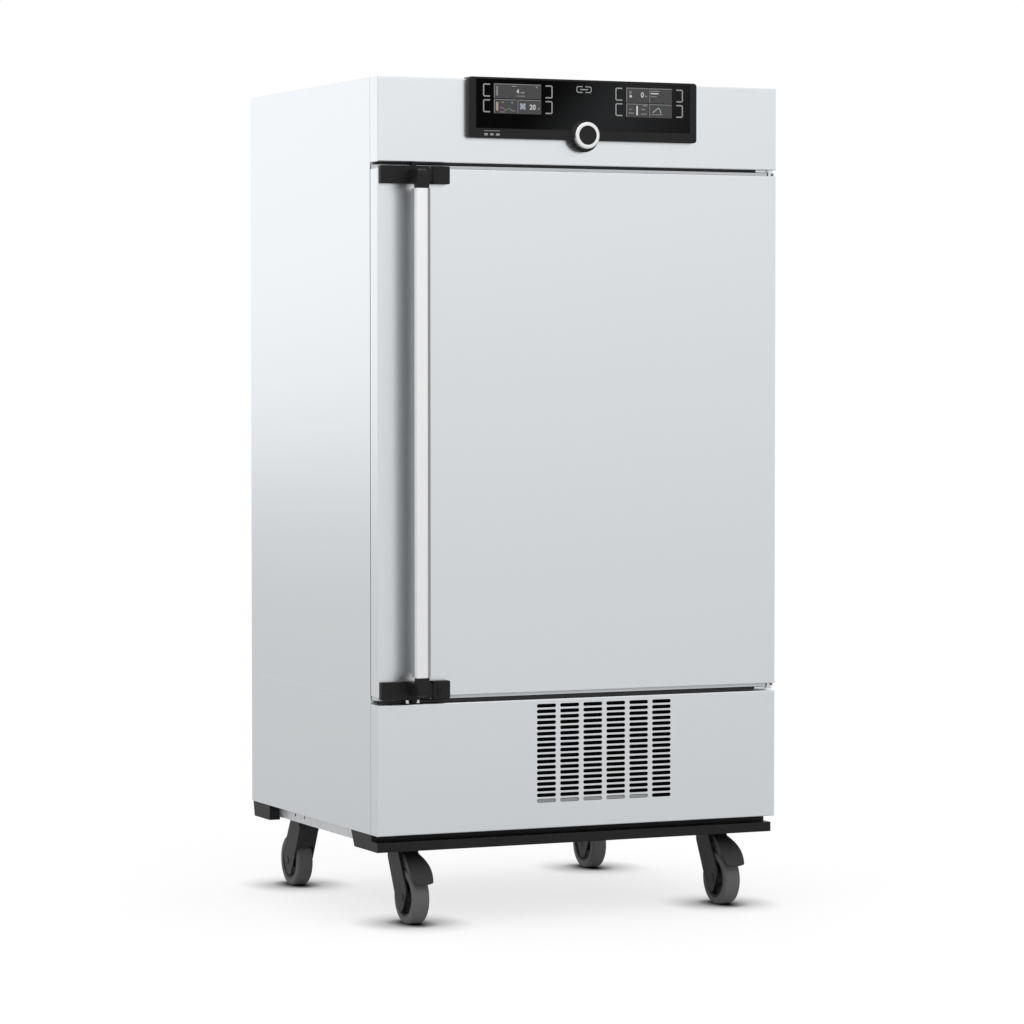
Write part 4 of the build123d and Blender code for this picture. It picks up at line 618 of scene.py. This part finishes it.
def dress_right_screen():
    low, high = DISPLAY_Z
    left, right = RIGHT_DISPLAY
    split_z = 1528.7
    split_x = 546.1
    for name, x0, x1 in (("left", left, split_x - 0.5), ("right", split_x + 0.5, right)):
        screen_tile(f"screen_tile_upper_{name}", x0, x1, split_z + 0.8, high)
        screen_tile(f"screen_tile_lower_{name}", x0, x1, low, split_z - 0.8)
    dress(numeral("0", 528.8, 1540.0, 9.4), "figure_flap", "cabinet", "lit white")
    small = [mark(538, 542, 1540.7, 1543.4), mark(549.8, 568, 1551.4, 1553), mark(549.8, 562.5, 1541.5, 1543),
             mark(503.8, 510.3, 1516.4, 1518), mark(503, 514.3, 1509, 1511), mark(530, 538, 1516.6, 1518.6),
             mark(533.4, 542, 1523.4, 1525.4), mark(529.4, 541.3, 1507.8, 1509.8),
             mark(505.2, 509, 1545.5, 1551.6), mark(549.8, 574.8, 1507.6, 1509)]
    dress(join(small), "screen_marks_right", "cabinet", "lit grey")
    bright = [disc(507.7, 1541.4, 2.5), mark(549.8, 566, 1546.6, 1548.8), mark(519.5, 522.9, 1506.5, 1524)]
    dress(join(bright), "screen_marks_bright", "cabinet", "lit white")
    curve = [(553.8, 1511.9), (560.4, 1517.1), (565.6, 1521), (568.2, 1519), (570.2, 1515), (570.9, 1510)]
    dress(stroke(curve, 1.9), "programme_curve", "cabinet", "lit green")


def dress_panel():
    """Key outlines, the lock mark in the middle and the small signs under the left screen."""
    for number, (outer, inner) in enumerate(KEYS):
        for row, (bottom, top) in zip(("upper", "lower"), KEY_ROWS):
            dress(bracket(outer, inner, bottom, top), f"key_outline_{row}_{number + 1}", "cabinet",
                  "panel print")
    for name, outer, inner in (("left", 396.2, 408.0), ("right", 425.6, 413.8)):
        way = 1 if inner > outer else -1
        half = stroke([(inner, 1556.5), (outer + 2 * way, 1556.5), (outer, 1554.5), (outer, 1547.9),
                       (outer + 2 * way, 1545.9), (inner, 1545.9)], 2.2)
        dress(half, f"lock_mark_{name}", "cabinet", "panel print")
    dress(stroke([(403, 1551.2), (418.8, 1551.2)], 2.4), "lock_mark_bar", "cabinet", "panel print")
    signs = [mark(207, 239, 1469.6, 1470.6), mark(207.5, 214.5, 1461.5, 1465.5),
             mark(219.5, 226, 1461.5, 1465.5), mark(231, 238.5, 1461.5, 1465.5)]
    dress(join(signs), "port_signs", "cabinet", "panel print")


def round_upright_edges(piece, x, y, radius, segments=6):
    """Round the vertical edge of a piece that stands at x, y."""
    pick_faces(piece, lambda face: False)
    bpy.ops.mesh.select_mode(type="EDGE")
    bpy.ops.object.mode_set(mode="OBJECT")
    points = piece.data.vertices
    for edge in piece.data.edges:
        ends = [points[number].co for number in edge.vertices]
        edge.select = all(abs(end.x - x) < 0.01 * MM and abs(end.y - y) < 0.01 * MM for end in ends)
    bpy.ops.object.mode_set(mode="EDIT")
    bpy.ops.mesh.bevel(offset=radius, segments=segments, affect="EDGES")
    bpy.ops.object.mode_set(mode="OBJECT")


def smooth(piece, degrees=35):
    bpy.ops.object.select_all(action="DESELECT")
    piece.select_set(True)
    bpy.context.view_layer.objects.active = piece
    bpy.ops.object.shade_smooth_by_angle(angle=radians(degrees))
    return piece


BAR_FRONT_ROUND = 7 * MM
BAR_SIDE_ROUND = 2.5 * MM
GRIP_IN = 2 * MM                      # how far the grip starts inside the bar
GRIP_LIP = 3.2 * MM                   # how far it shows beside the bar, on the right
GRIP_DEPTH = 22 * MM
GRIP_ROUND = 6 * MM


def dress_handle():
    """Bar with a rounded front, the grey grip in its back, and the black foot of the lock rollers."""
    low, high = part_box("handle_bar")
    bar = box_piece(low, high)
    round_upright_edges(bar, high.x, low.y, BAR_FRONT_ROUND, 8)
    round_upright_edges(bar, low.x, low.y, BAR_SIDE_ROUND, 4)
    dress(smooth(bar), "handle_bar_profile", "handle", "bar_metal")
    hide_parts("handle_bar")
    left, right = low.x + GRIP_IN, high.x + GRIP_LIP
    front, back = low.y + GRIP_IN, high.y + GRIP_DEPTH
    grip = box_piece(Vector((left, front, low.z)), Vector((right, back, high.z)))
    for x in (left, right):
        round_upright_edges(grip, x, back, GRIP_ROUND)
    round_upright_edges(grip, right, front, 1 * MM, 3)
    dress(smooth(grip), "bar_grip", "handle", "grip grey")
    low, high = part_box("lock_rollers")
    foot = box_piece(Vector((low.x - 6.5 * MM, high.y - 8.5 * MM, low.z)),
                     Vector((high.x + 5 * MM, high.y + 3 * MM, low.z + 1.6 * MM)), 0.5 * MM)
    dress(foot, "lock_roller_foot", "cabinet", "black_plastic")


GAP_DEPTH = 12 * MM                   # from the door's face to the black strips of painted shade above and below it
GAP_INSET = 14 * MM                   # from the casing's left side to the start of these strips
SEAM_BEHIND = 0.1 * MM                # the black seam strips of painted shade lie this far inside the sides
SEAM_WIDTH = 6.9 * MM
DOOR_SEAM = 2.4                       # thickness of the seam strips, in millimetres
PANEL_SEAM = 0.8


def dress_gap_shade():
    """Black strips of painted shade in the joints around the door and between the front panels and the body.
    """
    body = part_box("front_frame")[0].y
    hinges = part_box("door_hinge_plates")[0].x
    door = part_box("door_frame")
    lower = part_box("lower_front_panel")[1].z
    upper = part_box("top_fascia")[0].z
    depth = FRONT + GAP_DEPTH
    for name, bottom, top in (("upper", door[1].z + 1.2 * MM, upper - 0.3 * MM),
                              ("lower", lower + 0.3 * MM, door[0].z - 1.6 * MM)):
        # painted shade: black strips fill the gaps above and below the door, where there is only shadow
        strip = box_piece(Vector((LEFT + GAP_INSET, depth, bottom)), Vector((hinges - 1 * MM, body, top)),
                          0.4 * MM)
        dress(strip, f"door_gap_shade_strip_{name}", "cabinet", "seal_rubber")
    door_low, door_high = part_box("door_skin")
    side_seams = (("door", door_low.z, door_high.z, DOOR_SEAM),
                  ("fascia", upper + 2 * MM, cad_high.z - 28 * MM, PANEL_SEAM),
                  ("lower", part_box("lower_front_panel")[0].z + 2 * MM, lower - 2 * MM, PANEL_SEAM))
    for name, bottom, top, thickness in side_seams:
        for side, x in (("left", LEFT), ("right", -LEFT)):
            if name == "door" and side == "right":
                continue
            inward = 1 if x < 0 else -1
            ends = (x + inward * SEAM_BEHIND, x + inward * (SEAM_BEHIND + SEAM_WIDTH))
            # painted shade: a black strip in each side seam stands for the shadow in the joint
            strip = box_piece(Vector((min(ends), body - thickness * MM, bottom)),
                              Vector((max(ends), body, top)), 0.15 * MM)
            dress(strip, f"seam_shade_strip_{name}_{side}", "cabinet", "seal_rubber")


def dress_grille():
    """Edge of the filter tray, which shows behind the lowest slots."""
    low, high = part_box("air_filter")
    floor = low.z / MM
    ledge = slab(321, 553, floor + 6.2, floor + 12, low.y + 3 * MM, 2 * MM, 0.4 * MM)
    dress(ledge, "filter_tray_edge", "cabinet", "tray grey")


SCREW_R = 4 * MM
SCREW_EDGE = 9 * MM                   # from the panel's edges to its screws
SCREW_ROWS = 6


def screw_head(x, z, back):
    """Domed screw head with a round socket, on a face that looks to the rear."""
    bpy.ops.object.select_all(action="DESELECT")
    bpy.ops.mesh.primitive_cylinder_add(vertices=24, radius=SCREW_R, depth=1 * MM, rotation=(pi / 2, 0, 0),
                                        location=(x, back + 0.5 * MM, z))
    piece = bpy.context.object
    bpy.ops.object.transform_apply(location=True, rotation=True, scale=True)
    pick_faces(piece, lambda face: face.normal.y > 0.9)
    bpy.ops.mesh.inset(thickness=1.1 * MM, depth=0.9 * MM)
    bpy.ops.mesh.inset(thickness=1.1 * MM, depth=0.3 * MM)
    bpy.ops.mesh.extrude_region_move(TRANSFORM_OT_translate={"value": (0, -1.2 * MM, 0)})
    bpy.ops.object.mode_set(mode="OBJECT")
    return smooth(piece, 40)


def copy_to(piece, shift):
    """A copy of a piece with its own mesh, moved by a shift."""
    bpy.ops.object.select_all(action="DESELECT")
    piece.select_set(True)
    bpy.context.view_layer.objects.active = piece
    bpy.ops.object.duplicate(linked=False)
    bpy.ops.transform.translate(value=shift)
    twin = bpy.context.object
    bpy.ops.object.transform_apply(location=True, rotation=True, scale=True)
    return twin


def dress_back():
    """Screws along the edges of the rear panel."""
    low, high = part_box("rear_panel")
    first = screw_head(low.x + SCREW_EDGE, low.z + SCREW_EDGE, high.y)
    step = (high.z - low.z - 2 * SCREW_EDGE) / (SCREW_ROWS - 1)
    heads = [first]
    for column, x in enumerate((0, high.x - low.x - 2 * SCREW_EDGE)):
        for row in range(SCREW_ROWS):
            if column or row:
                heads.append(copy_to(first, Vector((x, 0, row * step))))
    for number, head in enumerate(heads):
        dress(head, f"rear_screw_{number + 1}", "cabinet", "galvanised_steel")


# Stage: floor, world and lamps


FLOOR_TONE = 0.8
SEEN_TONE = 0.38                      # the floor's own colour to the camera, under its glow
SEEN_GLOW = 0.7
SHADOW_REACH = 0.1
CORE_REACH = 0.03                     # of the dark core where a wheel touches the floor


def make_floor():
    """Pale floor, white to the camera, with the contact shadows under the castors."""
    bpy.ops.object.select_all(action="DESELECT")
    bpy.ops.mesh.primitive_plane_add(size=60)
    floor = bpy.context.object
    floor.name = "floor"
    material, tree, shader = new_finish("pale floor", (FLOOR_TONE,) * 3, 0.9, Specular_IOR_Level=0.0)
    ray = add_node(tree, "ShaderNodeLightPath")
    tone = add_node(tree, "ShaderNodeMix", {"data_type": "RGBA"})
    tone.inputs[6].default_value = (FLOOR_TONE, FLOOR_TONE, FLOOR_TONE, 1)
    seen = add_node(tree, "ShaderNodeMix", {"data_type": "RGBA"})
    seen.inputs[6].default_value = (0, 0, 0, 1)
    seen.inputs[7].default_value = (SEEN_TONE, SEEN_TONE, SEEN_TONE, 1)
    touch = add_node(tree, "ShaderNodeAmbientOcclusion", {"samples": 16}, Distance=CORE_REACH)
    core = add_node(tree, "ShaderNodeMath", {"operation": "POWER"})
    core.inputs[1].default_value = 2.0
    outside = add_node(tree, "ShaderNodeMath", {"operation": "MULTIPLY"})
    near = add_node(tree, "ShaderNodeAmbientOcclusion", {"samples": 16}, Distance=SHADOW_REACH)
    dark = add_node(tree, "ShaderNodeMath", {"operation": "POWER"})
    dark.inputs[1].default_value = 3.0
    glow = add_node(tree, "ShaderNodeMath", {"operation": "MULTIPLY"})
    level = add_node(tree, "ShaderNodeMath", {"operation": "MULTIPLY"})
    level.inputs[1].default_value = SEEN_GLOW
    link = tree.links.new
    link(touch.outputs["AO"], core.inputs[0])
    link(core.outputs[0], seen.inputs[0])
    link(seen.outputs[2], tone.inputs[7])
    link(ray.outputs["Is Camera Ray"], tone.inputs[0])
    link(tone.outputs[2], shader.inputs["Base Color"])
    link(near.outputs["AO"], dark.inputs[0])
    link(dark.outputs[0], outside.inputs[0])
    link(core.outputs[0], outside.inputs[1])
    link(outside.outputs[0], glow.inputs[0])
    link(ray.outputs["Is Camera Ray"], glow.inputs[1])
    link(glow.outputs[0], level.inputs[0])
    link(level.outputs[0], shader.inputs["Emission Strength"])
    shader.inputs["Emission Color"].default_value = (1, 1, 1, 1)
    floor.data.materials.append(material)


def make_world():
    """Soft even light, with plain white where the camera or a reflection looks past the object."""
    world = bpy.data.worlds.new("studio")
    bpy.context.scene.world = world
    world.use_nodes = True
    tree = world.node_tree
    tree.nodes.clear()
    ray = add_node(tree, "ShaderNodeLightPath")
    seen = add_node(tree, "ShaderNodeMath", {"operation": "MAXIMUM"})
    shown = add_node(tree, "ShaderNodeMath", {"operation": "MAXIMUM"})
    strength = add_node(tree, "ShaderNodeMapRange", To_Min=0.8, To_Max=1.0)
    sky = add_node(tree, "ShaderNodeBackground", Color=(1, 1, 1, 1))
    leave = tree.nodes.new("ShaderNodeOutputWorld")
    link = tree.links.new
    link(ray.outputs["Is Camera Ray"], seen.inputs[0])
    link(ray.outputs["Is Glossy Ray"], seen.inputs[1])
    link(seen.outputs[0], shown.inputs[0])
    link(ray.outputs["Is Transmission Ray"], shown.inputs[1])
    link(shown.outputs[0], strength.inputs["Value"])
    link(strength.outputs["Result"], sky.inputs["Strength"])
    link(sky.outputs[0], leave.inputs[0])


def soft_box(name, place, target, size, power):
    """Square studio lamp at a place, facing a target."""
    lamp = bpy.data.lights.new(name, "AREA")
    lamp.shape = "SQUARE"
    lamp.size = size
    lamp.energy = power
    box = bpy.data.objects.new(name, lamp)
    bpy.context.scene.collection.objects.link(box)
    box.location = place
    box.rotation_mode = "QUATERNION"
    box.rotation_quaternion = (Vector(target) - Vector(place)).to_track_quat("-Z", "Y")
    box.visible_camera = False


def make_lamps():
    soft_box("front box", (0.6, -5.0, 3.7), (0.3, -2.2, 0), 3.0, 22)
    soft_box("left box", (-2.05, 3.6, 2.2), (-0.4, 0, 1.5), 3.0, 5.5)


make_camera()
make_floor()
make_world()
make_lamps()
dress_nodes()
dress_left_screen()
dress_right_screen()
dress_panel()
dress_handle()
dress_gap_shade()
dress_grille()
dress_back()

bpy.context.scene.view_settings.view_transform = "Standard"
